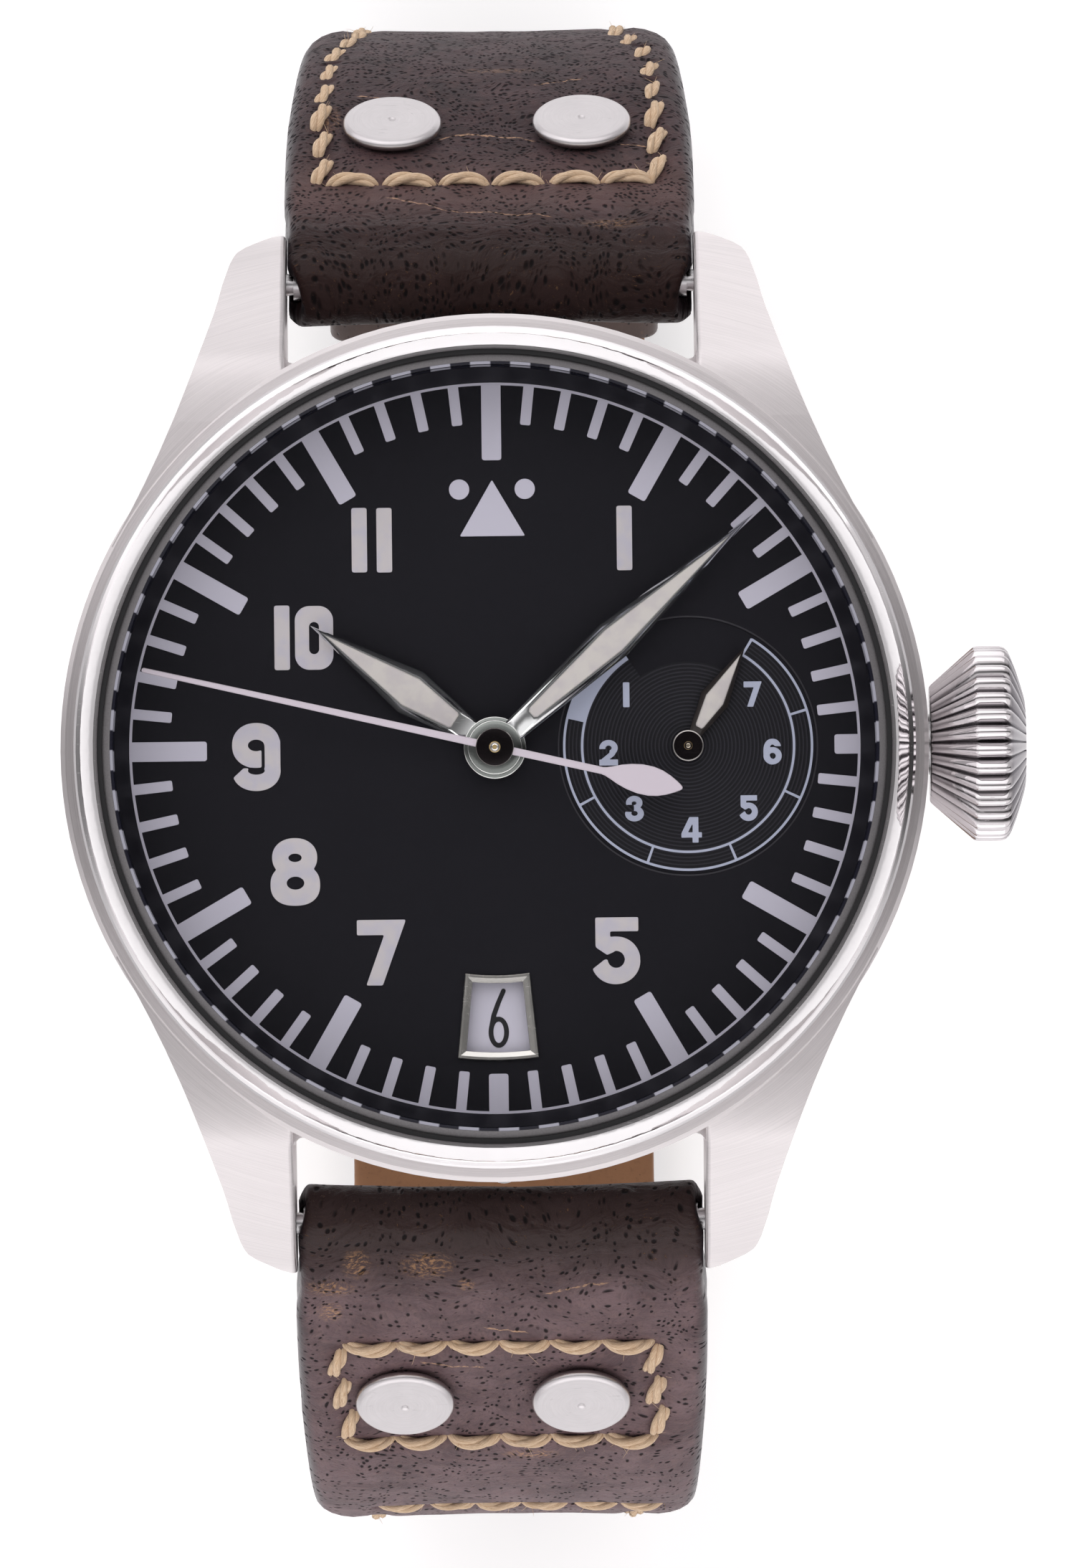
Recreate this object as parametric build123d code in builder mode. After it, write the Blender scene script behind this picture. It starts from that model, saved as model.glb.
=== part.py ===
from build123d import *
import os
from math import sin, cos, tan, radians, degrees, pi, atan2, hypot, sqrt

# Pilot wristwatch with a power reserve sub-dial and a date window. Millimetres.
# +Z leaves the dial, +Y points to 12 o'clock, +X points to the crown.
# The origin is on the dial axis, on the outer flat face of the case back.
# The two strap halves are unbuckled and stand on the table like a worn loop.

# ---------------------------------------------------------------- dimensions
case_r = 23.1            # case radius
case_bottom = 1.3        # underside of the case middle
case_top = 11.2          # top of the case band
bore_r = 19.65           # inside of the case
dial_seat_r = 20.3       # bore above the dial seat
dial_bottom, dial_top = 9.2, 9.6
dial_r = 20.0
bezel_r = 22.36
bezel_top = 14.0
crystal_r = 20.8
crystal_edge_z = 12.0
crystal_apex = 15.8
back_r = 20.9

lug_gap = 22.0           # between the lugs, for the strap
bar_y, bar_z = 25.3, 3.0 # spring bar axis
bar_r, bar_pin_r = 0.9, 0.6
strap_bore_r = 0.95

stem_z = 6.9             # crown and stem axis
crown_x0, crown_x1, crown_x2, crown_x3 = 23.25, 25.66, 27.42, 28.37
crown_r0, crown_r1, crown_r3 = 3.14, 5.22, 2.5
crown_lobes = 32

reserve_x = 10.3         # power reserve sub-dial centre

hour_angle, minute_angle, second_angle, reserve_angle = 304.1, 48.6, 283.0, 30.5  # clockwise from 12

floor_z = -62.0
strap_w_lug, strap_w0, strap_w2 = 21.8, 22.3, 18.0   # between the lugs, beyond them, at the buckle
strap_t0, strap_t1 = 4.8, 3.2        # 12 o'clock half
strap6_t0, strap6_t1 = 4.4, 2.6      # 6 o'clock half
lining_t = 1.1

os.makedirs("parts", exist_ok=True)


def save(p, name):
    p.part.label = name
    export_step(p.part, "parts/" + name + ".step")


def polar(r, deg):
    return (r * cos(radians(deg)), r * sin(radians(deg)))


def gear_points(n, rp, m, phase=0.0, tip=0.75, root=1.0):
    # straight-sided teeth with a little backlash, the first tooth centred at phase
    pts = []
    step = 360.0 / n
    for i in range(n):
        a = phase + i * step
        for f, r in ((-0.31, rp - root * m), (-0.11, rp + tip * m), (0.11, rp + tip * m), (0.31, rp - root * m)):
            pts.append(polar(r, a + f * step))
    return pts


def shifted(pts, c):
    return [(x + c[0], y + c[1]) for x, y in pts]


def mate_phase(n1, n2, p1, alpha):
    # phase of gear 2 so that it meshes with gear 1 in the direction alpha
    return alpha + 180 - (n1 / n2) * (p1 - alpha) - 180.0 / n2


def spiral_points(r0, r1, turns, thick, per_turn=20):
    n = int(turns * per_turn)
    inner, outer = [], []
    for i in range(n + 1):
        a = 360.0 * turns * i / n
        r = r0 + (r1 - r0) * i / n
        inner.append(polar(r - thick / 2, a))
        outer.append(polar(r + thick / 2, a))
    return outer + inner[::-1]


# ---------------------------------------------------------------- strap paths
def make_path(segments, y0, z0):
    # segments: (length, start angle, end angle) in degrees below the horizontal, outward
    pts = []
    y, z, s = y0, z0, 0.0
    for length, a0, a1 in segments:
        n = max(2, int(abs(a1 - a0) / 4.0) + 1) if abs(a1 - a0) > 0.01 else max(1, int(length / 12.0) + 1)
        for i in range(n):
            t0, t1 = i / n, (i + 1) / n
            am = a0 + (a1 - a0) * (t0 + t1) / 2
            if not pts:
                pts.append((y, z, a0, 0.0))
            d = length / n
            k = radians((a1 - a0) / n)
            chord = d if abs(k) < 1e-9 else 2 * (d / abs(k)) * sin(abs(k) / 2)
            y += chord * cos(radians(am))
            z -= chord * sin(radians(am))
            s += d
            pts.append((y, z, a0 + (a1 - a0) * t1, s))
    return pts


def arc_len(r, a0, a1):
    return r * radians(abs(a1 - a0))


leg12 = (floor_z + 1.42 + strap_t1 / 2)      # height of the 12 o'clock half's middle line at its end
leg6 = (floor_z + strap6_t1 / 2)
corner_r = 20.0
seg12 = [(3.0, 46.6, 55.0), (10.95, 55.0, 55.6), (arc_len(40.3, 55.6, 90), 55.6, 90)]
p = make_path(seg12, bar_y, bar_z)[-1]
leg12_straight = (p[1] - leg12) - corner_r
seg12 += [(leg12_straight, 90, 90), (arc_len(corner_r, 90, 180), 90, 180)]
path12 = make_path(seg12, bar_y, bar_z)
s12_end = path12[-1][3]
s12_leg0 = p[3]
s12_leg1 = s12_leg0 + leg12_straight

seg6 = [(7.16, 40.7, 51.9), (8.05, 51.9, 51.9), (arc_len(27.43, 51.9, 90), 51.9, 90)]
p = make_path(seg6, bar_y, bar_z)[-1]
leg6_straight = (p[1] - leg6) - corner_r
seg6 += [(leg6_straight, 90, 90), (arc_len(corner_r, 90, 180), 90, 180)]
q = make_path(seg6, bar_y, bar_z)[-1]
tail_len = q[0] + 1.6                        # the tip ends near the middle, clear of the buckle
seg6 += [(tail_len, 180, 180)]
path6 = make_path(seg6, bar_y, bar_z)
s6_end = path6[-1][3]
print("strap lengths", round(s12_end, 2), round(s6_end, 2), "12 end", path12[-1], "6 end", path6[-1], "leg12", leg12_straight, "leg6", leg6_straight)


def at(path, s):
    for i in range(len(path) - 1):
        a, b = path[i], path[i + 1]
        if s <= b[3] + 1e-9:
            t = (s - a[3]) / (b[3] - a[3])
            return (a[0] + (b[0] - a[0]) * t, a[1] + (b[1] - a[1]) * t, a[2] + (b[2] - a[2]) * t)
    b = path[-1]
    return (b[0], b[1], b[2])


def offset_pt(pt, d):
    # d > 0 is outward, away from the wrist
    y, z, a = pt[0], pt[1], pt[2]
    return (y + d * sin(radians(a)), z + d * cos(radians(a)))


def thick(s, t0, t1):
    return t0 + (t1 - t0) * min(1.0, s / 40.0)


def band(path, s0, s1, lo, hi, mirror_y=1):
    # closed outline between two offsets, both functions of s
    ss = [s0] + [q[3] for q in path if s0 + 0.3 < q[3] < s1 - 0.3] + [s1]
    up = [offset_pt(at(path, s), hi(s)) for s in ss]
    dn = [offset_pt(at(path, s), lo(s)) for s in ss]
    return [(mirror_y * y, z) for y, z in up + dn[::-1]]


def width_at(s, total):
    return strap_w0 + (strap_w2 - strap_w0) * max(0.0, min(1.0, (s - 15.0) / (0.75 * total - 15.0)))


# ================================================================ case
# lug in plan, one quarter: a slightly hollow outer side that runs into the case
lug_tan = polar(case_r - 0.09, 28.4)
with BuildPart() as lug:
    with BuildSketch(Plane.XY):
        with BuildLine():
            k1 = Polyline((lug_gap / 2, 12.0), (lug_gap / 2, 27.95), (11.3, 27.97), (11.75, 27.83), (12.3, 27.58), (13.1, 27.2), (13.55, 26.9),
                          (13.75, 26.62), (13.95, 26.2), (14.08, 25.8), (14.34, 25.0), (14.55, 24.15), (14.79, 23.33), (15.04, 22.6))
            k2 = ThreePointArc(k1 @ 1, (17.11, 17.15), lug_tan)
            Polyline(k2 @ 1, (18.0, 5.0), (12.0, 5.0), (lug_gap / 2, 12.0))
        make_face()
    extrude(amount=case_top - 0.05)
    with BuildSketch(Plane.YZ):
        with BuildLine():
            l1 = Line((4.0, 1.4), (18.0, 1.4))
            l2 = Spline(l1 @ 1, (22.5, 0.75), (26.7, 0.35), tangents=[(1, 0), (1, -0.1)])
            l3 = Spline(l2 @ 1, (27.8, 1.2), (28.0, 2.6), tangents=[(1, -0.1), (0, 1)])
            l4 = Spline(l3 @ 1, (27.65, 4.2), (25.3, 7.1), (22.0, 9.55), (17.5, 11.1), tangents=[(-0.1, 1), (-1, 0.03)])
            l5 = Polyline(l4 @ 1, (4.0, 11.1), (4.0, 1.4))
        make_face()
    extrude(amount=30, mode=Mode.INTERSECT)
    # the top edge towards the strap is broken
    fillet([e for e in lug.edges() if abs(e.center().X - lug_gap / 2) < 0.001 and e.center().Z > 4 and e.center().Y > 19], 0.25)
    # round corner between the lug and the ring
    with BuildSketch(Plane.XY.offset(4.2)):
        with BuildLine():
            Polyline((11.05, 21.2), (10.93, 20.86), (10.76, 20.70), (10.5, 20.62), (10.2, 20.68), (10.2, 20.2), (11.3, 20.2), (11.3, 21.2), (11.05, 21.2))
        make_face()
    extrude(amount=5.4)

with BuildPart() as case_middle:
    with BuildSketch(Plane.XZ):
        with BuildLine():
            Polyline((bore_r, case_bottom), (21.3, case_bottom), (22.6, 2.1), (case_r - 0.05, 3.2), (case_r, 4.0), (case_r, 10.9),
                     (case_r - 0.25, case_top), (dial_seat_r, case_top), (dial_seat_r, dial_bottom),
                     (bore_r, dial_bottom), (bore_r, case_bottom))
        make_face()
    revolve(axis=Axis.Z)
    add(lug.part)
    add(lug.part.mirror(Plane.YZ))
    add(lug.part.mirror(Plane.XZ))
    add(lug.part.mirror(Plane.XZ).mirror(Plane.YZ))
    # keep the inside of the ring clear
    with BuildSketch(Plane.XY.offset(0)):
        Circle(bore_r)
    extrude(amount=12, mode=Mode.SUBTRACT)
    with BuildSketch(Plane.XY.offset(dial_bottom)):
        Circle(dial_seat_r)
    extrude(amount=3, mode=Mode.SUBTRACT)
    # flat land for the case back and its seal groove
    with BuildSketch(Plane.XY.offset(0)):
        Circle(back_r + 0.15)
    extrude(amount=case_bottom, mode=Mode.SUBTRACT)
    with BuildSketch(Plane.XY.offset(case_bottom)):
        Circle(20.55)
        Circle(19.95, mode=Mode.SUBTRACT)
    extrude(amount=0.45, mode=Mode.SUBTRACT)
    # room for the rounded strap ends between the lugs
    for sy in (1, -1):
        with BuildSketch(Plane.YZ.offset(-lug_gap / 2)):
            with Locations((sy * bar_y, bar_z)):
                Circle(3.0)
        extrude(amount=lug_gap, mode=Mode.SUBTRACT)
    # blind holes for the spring bars
    for sy in (1, -1):
        with BuildSketch(Plane.YZ.offset(-12.4)):
            with Locations((sy * bar_y, bar_z)):
                Circle(bar_pin_r + 0.02)
        extrude(amount=24.8, mode=Mode.SUBTRACT)
    # hole for the crown tube
    with BuildSketch(Plane.YZ.offset(18.0)):
        with Locations((0, stem_z)):
            Circle(1.25)
    extrude(amount=8, mode=Mode.SUBTRACT)
save(case_middle, "case_middle")

with BuildPart() as bezel:
    with BuildSketch(Plane.XZ):
        with BuildLine():
            l1 = Polyline((dial_seat_r, case_top), (bezel_r, case_top), (bezel_r, 12.05), (bezel_r - 0.12, 12.2), (22.07, 12.25))
            l2 = Spline(l1 @ 1, (21.72, 13.2), (21.25, bezel_top), tangents=[(-0.15, 1), (-1, 0.9)])
            l3 = Polyline(l2 @ 1, (21.12, bezel_top), (21.05, bezel_top - 0.1), (21.05, crystal_edge_z), (dial_seat_r, crystal_edge_z), (dial_seat_r, case_top))
        make_face()
    revolve(axis=Axis.Z)
save(bezel, "bezel")



def dome(x, rim_r, rim_z, apex_z):
    # height at x of a sphere cap centred on the axis
    sag = apex_z - rim_z
    rr = (rim_r * rim_r + sag * sag) / (2 * sag)
    return apex_z - rr + sqrt(rr * rr - x * x)


inner_apex = crystal_edge_z + 0.8
with BuildPart() as crystal:
    with BuildSketch(Plane.XZ):
        with BuildLine():
            l1 = Polyline((0, inner_apex), (0, crystal_apex))
            l2 = ThreePointArc((0, crystal_apex), (10.3, dome(10.3, 20.35, 14.05, crystal_apex)), (20.35, 14.05))
            l3 = Polyline((20.35, 14.05), (crystal_r, 13.55), (crystal_r, crystal_edge_z), (20.15, crystal_edge_z))
            l4 = ThreePointArc((20.15, crystal_edge_z), (10.1, dome(10.1, 20.15, crystal_edge_z, inner_apex)), (0, inner_apex))
        make_face()
    revolve(axis=Axis.Z)
save(crystal, "crystal")

with BuildPart() as crystal_gasket:
    with BuildSketch(Plane.XY.offset(crystal_edge_z)):
        Circle(21.05)
        Circle(crystal_r, mode=Mode.SUBTRACT)
    extrude(amount=1.75)
save(crystal_gasket, "crystal_gasket")

with BuildPart() as case_back:
    with BuildSketch(Plane.XZ):
        with BuildLine():
            Polyline((0, 0), (16.6, 0), (16.9, 0.25), (19.6, 0.45), (back_r, 1.0), (back_r, case_bottom), (bore_r - 0.03, case_bottom),
                     (bore_r - 0.03, 2.6), (18.3, 2.6), (18.3, 1.35), (0, 1.35), (0, 0))
        make_face()
    revolve(axis=Axis.Z)
    # six key slots for opening
    with BuildSketch(Plane.XY.offset(0)):
        with PolarLocations(18.6, 6):
            SlotOverall(2.4, 1.3, rotation=0)
    extrude(amount=0.85, mode=Mode.SUBTRACT)
save(case_back, "case_back")

with BuildPart() as case_back_gasket:
    with BuildSketch(Plane.XY.offset(case_bottom)):
        Circle(20.5)
        Circle(20.0, mode=Mode.SUBTRACT)
    extrude(amount=0.42)
save(case_back_gasket, "case_back_gasket")

with BuildPart() as movement_ring:
    with BuildSketch(Plane.XY.offset(2.75)):
        Circle(bore_r - 0.03)
        Circle(19.05, mode=Mode.SUBTRACT)
    extrude(amount=dial_bottom - 2.75)
    with BuildSketch(Plane.YZ.offset(18.5)):
        with Locations((0, stem_z)):
            Circle(0.95)
    extrude(amount=2, mode=Mode.SUBTRACT)
save(movement_ring, "movement_ring")

# ================================================================ dial side
with BuildPart() as dial_flange:
    with BuildSketch(Plane.XZ):
        with BuildLine():
            Polyline((19.52, dial_top), (dial_seat_r - 0.03, dial_top), (dial_seat_r - 0.03, 11.9), (20.17, 11.9), (19.52, dial_top + 0.12), (19.52, dial_top))
        make_face()
    revolve(axis=Axis.Z)
save(dial_flange, "dial_flange")


def trapezoid_pts(w_top, w_bot, y_top, y_bot, n=8):
    # the window follows the dial's arc on its inner and outer edges
    pts = []
    for i in range(n + 1):
        x = -w_top / 2 + w_top * i / n
        pts.append((x, -sqrt(y_top * y_top - x * x)))
    for i in range(n + 1):
        x = w_bot / 2 - w_bot * i / n
        pts.append((x, -sqrt(y_bot * y_bot - x * x)))
    pts.append(pts[0])
    return pts


with BuildPart() as dial:
    with BuildSketch(Plane.XY.offset(dial_bottom)):
        Circle(dial_r)
        Circle(1.3, mode=Mode.SUBTRACT)
        with Locations((reserve_x, 0)):
            Circle(0.45, mode=Mode.SUBTRACT)
        with BuildLine():
            Polyline(*trapezoid_pts(3.1, 3.95, 12.3, 16.35))
        make_face(mode=Mode.SUBTRACT)
    extrude(amount=dial_top - dial_bottom)
    # sunk field of the power reserve
    with BuildSketch(Plane.XY.offset(dial_top - 0.1)):
        with Locations((reserve_x, 0)):
            Circle(6.88)
    extrude(amount=0.2, mode=Mode.SUBTRACT)
save(dial, "dial")

with BuildPart() as date_frame:
    with BuildSketch(Plane.XY.offset(dial_top)):
        with BuildLine():
            Polyline(*trapezoid_pts(3.44, 4.33, 12.12, 16.65))
        make_face()
        with BuildLine():
            Polyline(*trapezoid_pts(2.7, 3.4, 12.5, 16.2))
        make_face(mode=Mode.SUBTRACT)
    extrude(amount=0.18)
    with BuildSketch(Plane.XY.offset(dial_bottom + 0.02)):
        with BuildLine():
            Polyline(*trapezoid_pts(3.0, 3.85, 12.34, 16.31))
        make_face()
        with BuildLine():
            Polyline(*trapezoid_pts(2.7, 3.4, 12.5, 16.2))
        make_face(mode=Mode.SUBTRACT)
    extrude(amount=dial_top - dial_bottom - 0.02)
save(date_frame, "date_frame")

with BuildPart() as date_disc:
    with BuildSketch(Plane.XY.offset(8.6)):
        Circle(17.3)
        with BuildLine():
            pts = gear_points(31, 11.9, 0.5, 0, tip=-0.6, root=1.0)
            Polyline(*pts, pts[0])
        make_face(mode=Mode.SUBTRACT)
    extrude(amount=0.25)
save(date_disc, "date_disc")

# ================================================================ movement layout
a_third, a_escape, a_barrel, a_minute_wheel = 190.0, 290.0, 50.0, 120.0
n_centre, n_third_p, n_third, n_fourth_p = 64, 8, 60, 8
n_fourth, n_escape_p = 80, 8
n_barrel, n_centre_p = 84, 12
d_third = 5.625
m1 = 2 * d_third / (n_centre + n_third_p)
m2 = 2 * d_third / (n_third + n_fourth_p)
m3 = 0.12
d_escape = m3 * (n_fourth + n_escape_p) / 2
m4 = 0.15
d_barrel = m4 * (n_barrel + n_centre_p) / 2
n_cannon, n_minute, n_minute_p, n_hour = 12, 36, 10, 40
d_mw = 3.6
m5 = 2 * d_mw / (n_cannon + n_minute)
m6 = 2 * d_mw / (n_minute_p + n_hour)
third_c = polar(d_third, a_third)
escape_c = polar(d_escape, a_escape)
pallet_c = polar(8.25, a_escape)
balance_c = polar(12.48, a_escape)
barrel_c = polar(d_barrel, a_barrel)
mw_c = polar(d_mw, a_minute_wheel)


def gear(n, m, phase, z0, h, centre, rp=None, tip=0.75, root=1.0):
    with BuildSketch(Plane.XY.offset(z0)) as sk:
        with BuildLine():
            pts = shifted(gear_points(n, n * m / 2, m, phase, tip, root), centre)
            Polyline(*pts, pts[0])
        make_face()
    extrude(sk.sketch, amount=h)


def disc(r, z0, h, centre=(0, 0), mode=Mode.ADD, r_in=0):
    with BuildSketch(Plane.XY.offset(z0)) as sk:
        with Locations(centre):
            Circle(r)
            if r_in:
                Circle(r_in, mode=Mode.SUBTRACT)
    extrude(sk.sketch, amount=h, mode=mode)


def spokes(r0, r1, count, z0, h, centre, w, start=0):
    # cut the openings between the arms of a wheel
    with BuildSketch(Plane.XY.offset(z0)) as sk:
        with Locations(centre):
            Circle(r1)
            Circle(r0, mode=Mode.SUBTRACT)
            with PolarLocations(0, count, start_angle=start):
                Rectangle(2 * r1 + 2, w, align=(Align.MIN, Align.CENTER), mode=Mode.SUBTRACT)
    extrude(sk.sketch, amount=h, mode=Mode.SUBTRACT)


with BuildPart() as mainplate:
    disc(19.0, 6.35, 1.65)
    disc(0.8, 6.0, 3, mode=Mode.SUBTRACT)
    for c, r in ((third_c, 0.25), (escape_c, 0.2), (pallet_c, 0.2), (balance_c, 0.25), (barrel_c, 0.8), ((reserve_x, 0), 0.36)):
        disc(r, 6.0, 3, c, Mode.SUBTRACT)
    # post of the minute wheel
    disc(0.3, 8.0, 0.9, mw_c)
    # bore of the winding stem and the pocket of the setting lever
    with BuildSketch(Plane.YZ.offset(12.7)):
        with Locations((0, stem_z)):
            Circle(0.5 + 0.15)
    extrude(amount=8, mode=Mode.SUBTRACT)
    with BuildSketch(Plane.XY.offset(7.2)):
        with Locations((16.8, 0.9)):
            Rectangle(3.9, 3.8)
    extrude(amount=1, mode=Mode.SUBTRACT)
    # tapped holes under the bridge screws
    with BuildSketch(Plane.XY.offset(6.0)):
        with Locations(*[polar(17.7, a) for a in (22, 75, 130, 165, 205, 245)]):
            Circle(0.42)
    extrude(amount=1.2, mode=Mode.SUBTRACT)
save(mainplate, "mainplate")


def sector_pts(a0, a1, r0, r1, n=20):
    pts = [polar(r1, a0 + (a1 - a0) * i / n) for i in range(n + 1)]
    if r0 > 0:
        pts += [polar(r0, a1 - (a1 - a0) * i / n) for i in range(n + 1)]
    else:
        pts.append((0, 0))
    pts.append(pts[0])
    return pts


bridge_z, bridge_t = 3.05, 0.7


def screw_seats(angles, z_top):
    for a in angles:
        disc(0.9, bridge_z, 0.32, polar(17.7, a), Mode.SUBTRACT)
        disc(0.42, bridge_z, 4, polar(17.7, a), Mode.SUBTRACT)


with BuildPart() as barrel_bridge:
    with BuildSketch(Plane.XY.offset(bridge_z)):
        with BuildLine():
            Polyline(*sector_pts(-40, 148, 3.3, 18.6))
        make_face()
    extrude(amount=bridge_t)
    with BuildSketch(Plane.XY.offset(bridge_z + bridge_t)):
        with BuildLine():
            Polyline(*sector_pts(-40, 148, 16.9, 18.6))
        make_face()
    extrude(amount=6.35 - bridge_z - bridge_t)
    disc(0.8, bridge_z, 1, barrel_c, Mode.SUBTRACT)
    # clear the way of the stem
    with BuildSketch(Plane.YZ.offset(12.7)):
        with Locations((0, stem_z)):
            Circle(0.75)
    extrude(amount=8, mode=Mode.SUBTRACT)
    screw_seats((22, 75, 130), 0)
save(barrel_bridge, "barrel_bridge")

with BuildPart() as train_bridge:
    with BuildSketch(Plane.XY.offset(bridge_z)):
        with BuildLine():
            Polyline(*sector_pts(150, 261, 0, 18.6))
        make_face()
        with BuildLine():
            Polyline(*sector_pts(259, 318, 0, 9.0))
        make_face()
        Circle(3.1)
    extrude(amount=bridge_t)
    with BuildSketch(Plane.XY.offset(bridge_z + bridge_t)):
        with BuildLine():
            Polyline(*sector_pts(150, 261, 16.9, 18.6))
        make_face()
    extrude(amount=6.35 - bridge_z - bridge_t)
    for c, r in (((0, 0), 0.35), (third_c, 0.25), (escape_c, 0.2)):
        disc(r, bridge_z, 1, c, Mode.SUBTRACT)
    screw_seats((165, 205, 245), 0)
save(train_bridge, "train_bridge")

with BuildPart() as balance_cock:
    with BuildSketch(Plane.XY.offset(bridge_z)):
        with BuildLine():
            Polyline(*sector_pts(272, 308, 9.4, 18.9))
        make_face()
    extrude(amount=0.6)
    with BuildSketch(Plane.XY.offset(bridge_z + 0.6)):
        with BuildLine():
            Polyline(*sector_pts(280, 300, 18.1, 18.9))
        make_face()
    extrude(amount=6.35 - bridge_z - 0.6)
    disc(0.25, bridge_z, 1, balance_c, Mode.SUBTRACT)
    # stud for the outer end of the hairspring
    disc(0.22, bridge_z + 0.6, 0.15, (balance_c[0] + 3.2, balance_c[1]))
save(balance_cock, "balance_cock")

with BuildPart() as bridge_screws:
    for a in (22, 75, 130, 165, 205, 245):
        disc(0.86, bridge_z + 0.02, 0.3, polar(17.7, a))
        disc(0.4, bridge_z + 0.32, 3.6, polar(17.7, a))
        with BuildSketch(Plane.XY.offset(bridge_z)):
            with Locations(Location((polar(17.7, a)[0], polar(17.7, a)[1], 0), (0, 0, a * 3 % 180))):
                Rectangle(2, 0.22)
        extrude(amount=0.14, mode=Mode.SUBTRACT)
save(bridge_screws, "bridge_screws")

with BuildPart() as rotor_bearing:
    disc(1.5, 1.75, bridge_z - 1.75, r_in=0.4)
    disc(2.1, 1.5, 0.25)
save(rotor_bearing, "rotor_bearing")

with BuildPart() as rotor:
    with BuildSketch(Plane.XY.offset(1.8)):
        with BuildLine():
            Polyline(*sector_pts(180, 360, 2.2, 17.8, 30))
        make_face()
        Circle(3.4)
        Circle(1.56, mode=Mode.SUBTRACT)
    extrude(amount=0.42)
    with BuildSketch(Plane.XY.offset(1.8)):
        with BuildLine():
            Polyline(*sector_pts(183, 357, 14.6, 17.8, 30))
        make_face()
    extrude(amount=1.05)
    with BuildSketch(Plane.XY.offset(1.8)):
        with BuildLine():
            Polyline(*sector_pts(200, 262, 6.0, 12.6, 12))
        make_face()
        with BuildLine():
            Polyline(*sector_pts(278, 340, 6.0, 12.6, 12))
        make_face()
    extrude(amount=1, mode=Mode.SUBTRACT)
save(rotor, "rotor")

# wheels of the going train, in mesh
ph_centre = 0.0
ph_third_p = mate_phase(n_centre, n_third_p, ph_centre, a_third)
ph_third = 3.0
ph_fourth_p = mate_phase(n_third, n_fourth_p, ph_third, a_third + 180)
ph_fourth = 0.0
ph_escape_p = mate_phase(n_fourth, n_escape_p, ph_fourth, a_escape)
ph_centre_p = 5.0
ph_barrel = mate_phase(n_centre_p, n_barrel, ph_centre_p, a_barrel)
ph_cannon = 0.0
ph_minute = mate_phase(n_cannon, n_minute, ph_cannon, a_minute_wheel)
ph_minute_p = 4.0
ph_hour = mate_phase(n_minute_p, n_hour, ph_minute_p, a_minute_wheel + 180)

with BuildPart() as center_wheel:
    gear(n_centre, m1, ph_centre, 5.92, 0.2, (0, 0))
    spokes(1.3, 4.2, 4, 5.9, 0.3, (0, 0), 0.7, 20)
    gear(n_centre_p, m4, ph_centre_p, 5.38, 0.4, (0, 0))
    disc(0.75, 5.38, 0.95)
    disc(0.36, 5.0, 2, mode=Mode.SUBTRACT)
save(center_wheel, "center_wheel")

with BuildPart() as cannon_pinion:
    disc(0.75, 6.33, 4.87)
    gear(n_cannon, m5, ph_cannon, 8.06, 0.4, (0, 0))
    disc(0.36, 6.0, 6, mode=Mode.SUBTRACT)
save(cannon_pinion, "cannon_pinion")

with BuildPart() as third_wheel:
    gear(n_third, m2, ph_third, 4.95, 0.2, third_c)
    spokes(1.1, 4.1, 4, 4.9, 0.3, third_c, 0.7, 0)
    gear(n_third_p, m1, ph_third_p, 5.85, 0.36, third_c)
    disc(0.35, 4.6, 1.6, third_c)
    disc(0.2, 3.2, 4.0, third_c)
save(third_wheel, "third_wheel")

with BuildPart() as fourth_wheel:
    gear(n_fourth, m3, ph_fourth, 3.92, 0.18, (0, 0))
    spokes(1.0, 4.0, 4, 3.9, 0.3, (0, 0), 0.6, 45)
    gear(n_fourth_p, m2, ph_fourth_p, 4.85, 0.4, (0, 0))
    disc(0.3, 3.15, 8.6)
save(fourth_wheel, "fourth_wheel")

with BuildPart() as escape_wheel:
    gear(n_escape_p, m3, ph_escape_p, 3.85, 0.4, escape_c)
    with BuildSketch(Plane.XY.offset(5.0)):
        with BuildLine():
            pts = []
            for i in range(15):
                a = i * 24.0
                pts += [polar(1.75, a - 7), polar(2.3, a), polar(2.3, a + 1.6), polar(1.75, a + 3)]
            pts = shifted(pts, escape_c)
            Polyline(*pts, pts[0])
        make_face()
    extrude(amount=0.18)
    spokes(0.6, 1.45, 4, 4.9, 0.4, escape_c, 0.3, 10)
    disc(0.15, 3.15, 4.0, escape_c)
save(escape_wheel, "escape_wheel")

with BuildPart() as pallet_fork:
    # arms at right angles to the line of centres, the fork towards the balance
    ang = a_escape
    with BuildSketch(Plane.XY.offset(5.0)):
        with Locations(Location((pallet_c[0], pallet_c[1], 0), (0, 0, ang))):
            Rectangle(0.5, 3.3)
            with Locations((1.0, 0)):
                Rectangle(2.0, 0.35)
            with Locations((1.9, 0)):
                Rectangle(0.3, 0.72)
            with Locations((2.2, 0.28), (2.2, -0.28)):
                Rectangle(0.6, 0.16)
            with Locations((-0.42, 1.55), (-0.42, -1.55)):
                Rectangle(0.45, 0.22)
            Circle(0.5)
    extrude(amount=0.18)
    disc(0.15, 4.8, 2.3, pallet_c)
save(pallet_fork, "pallet_fork")

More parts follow.
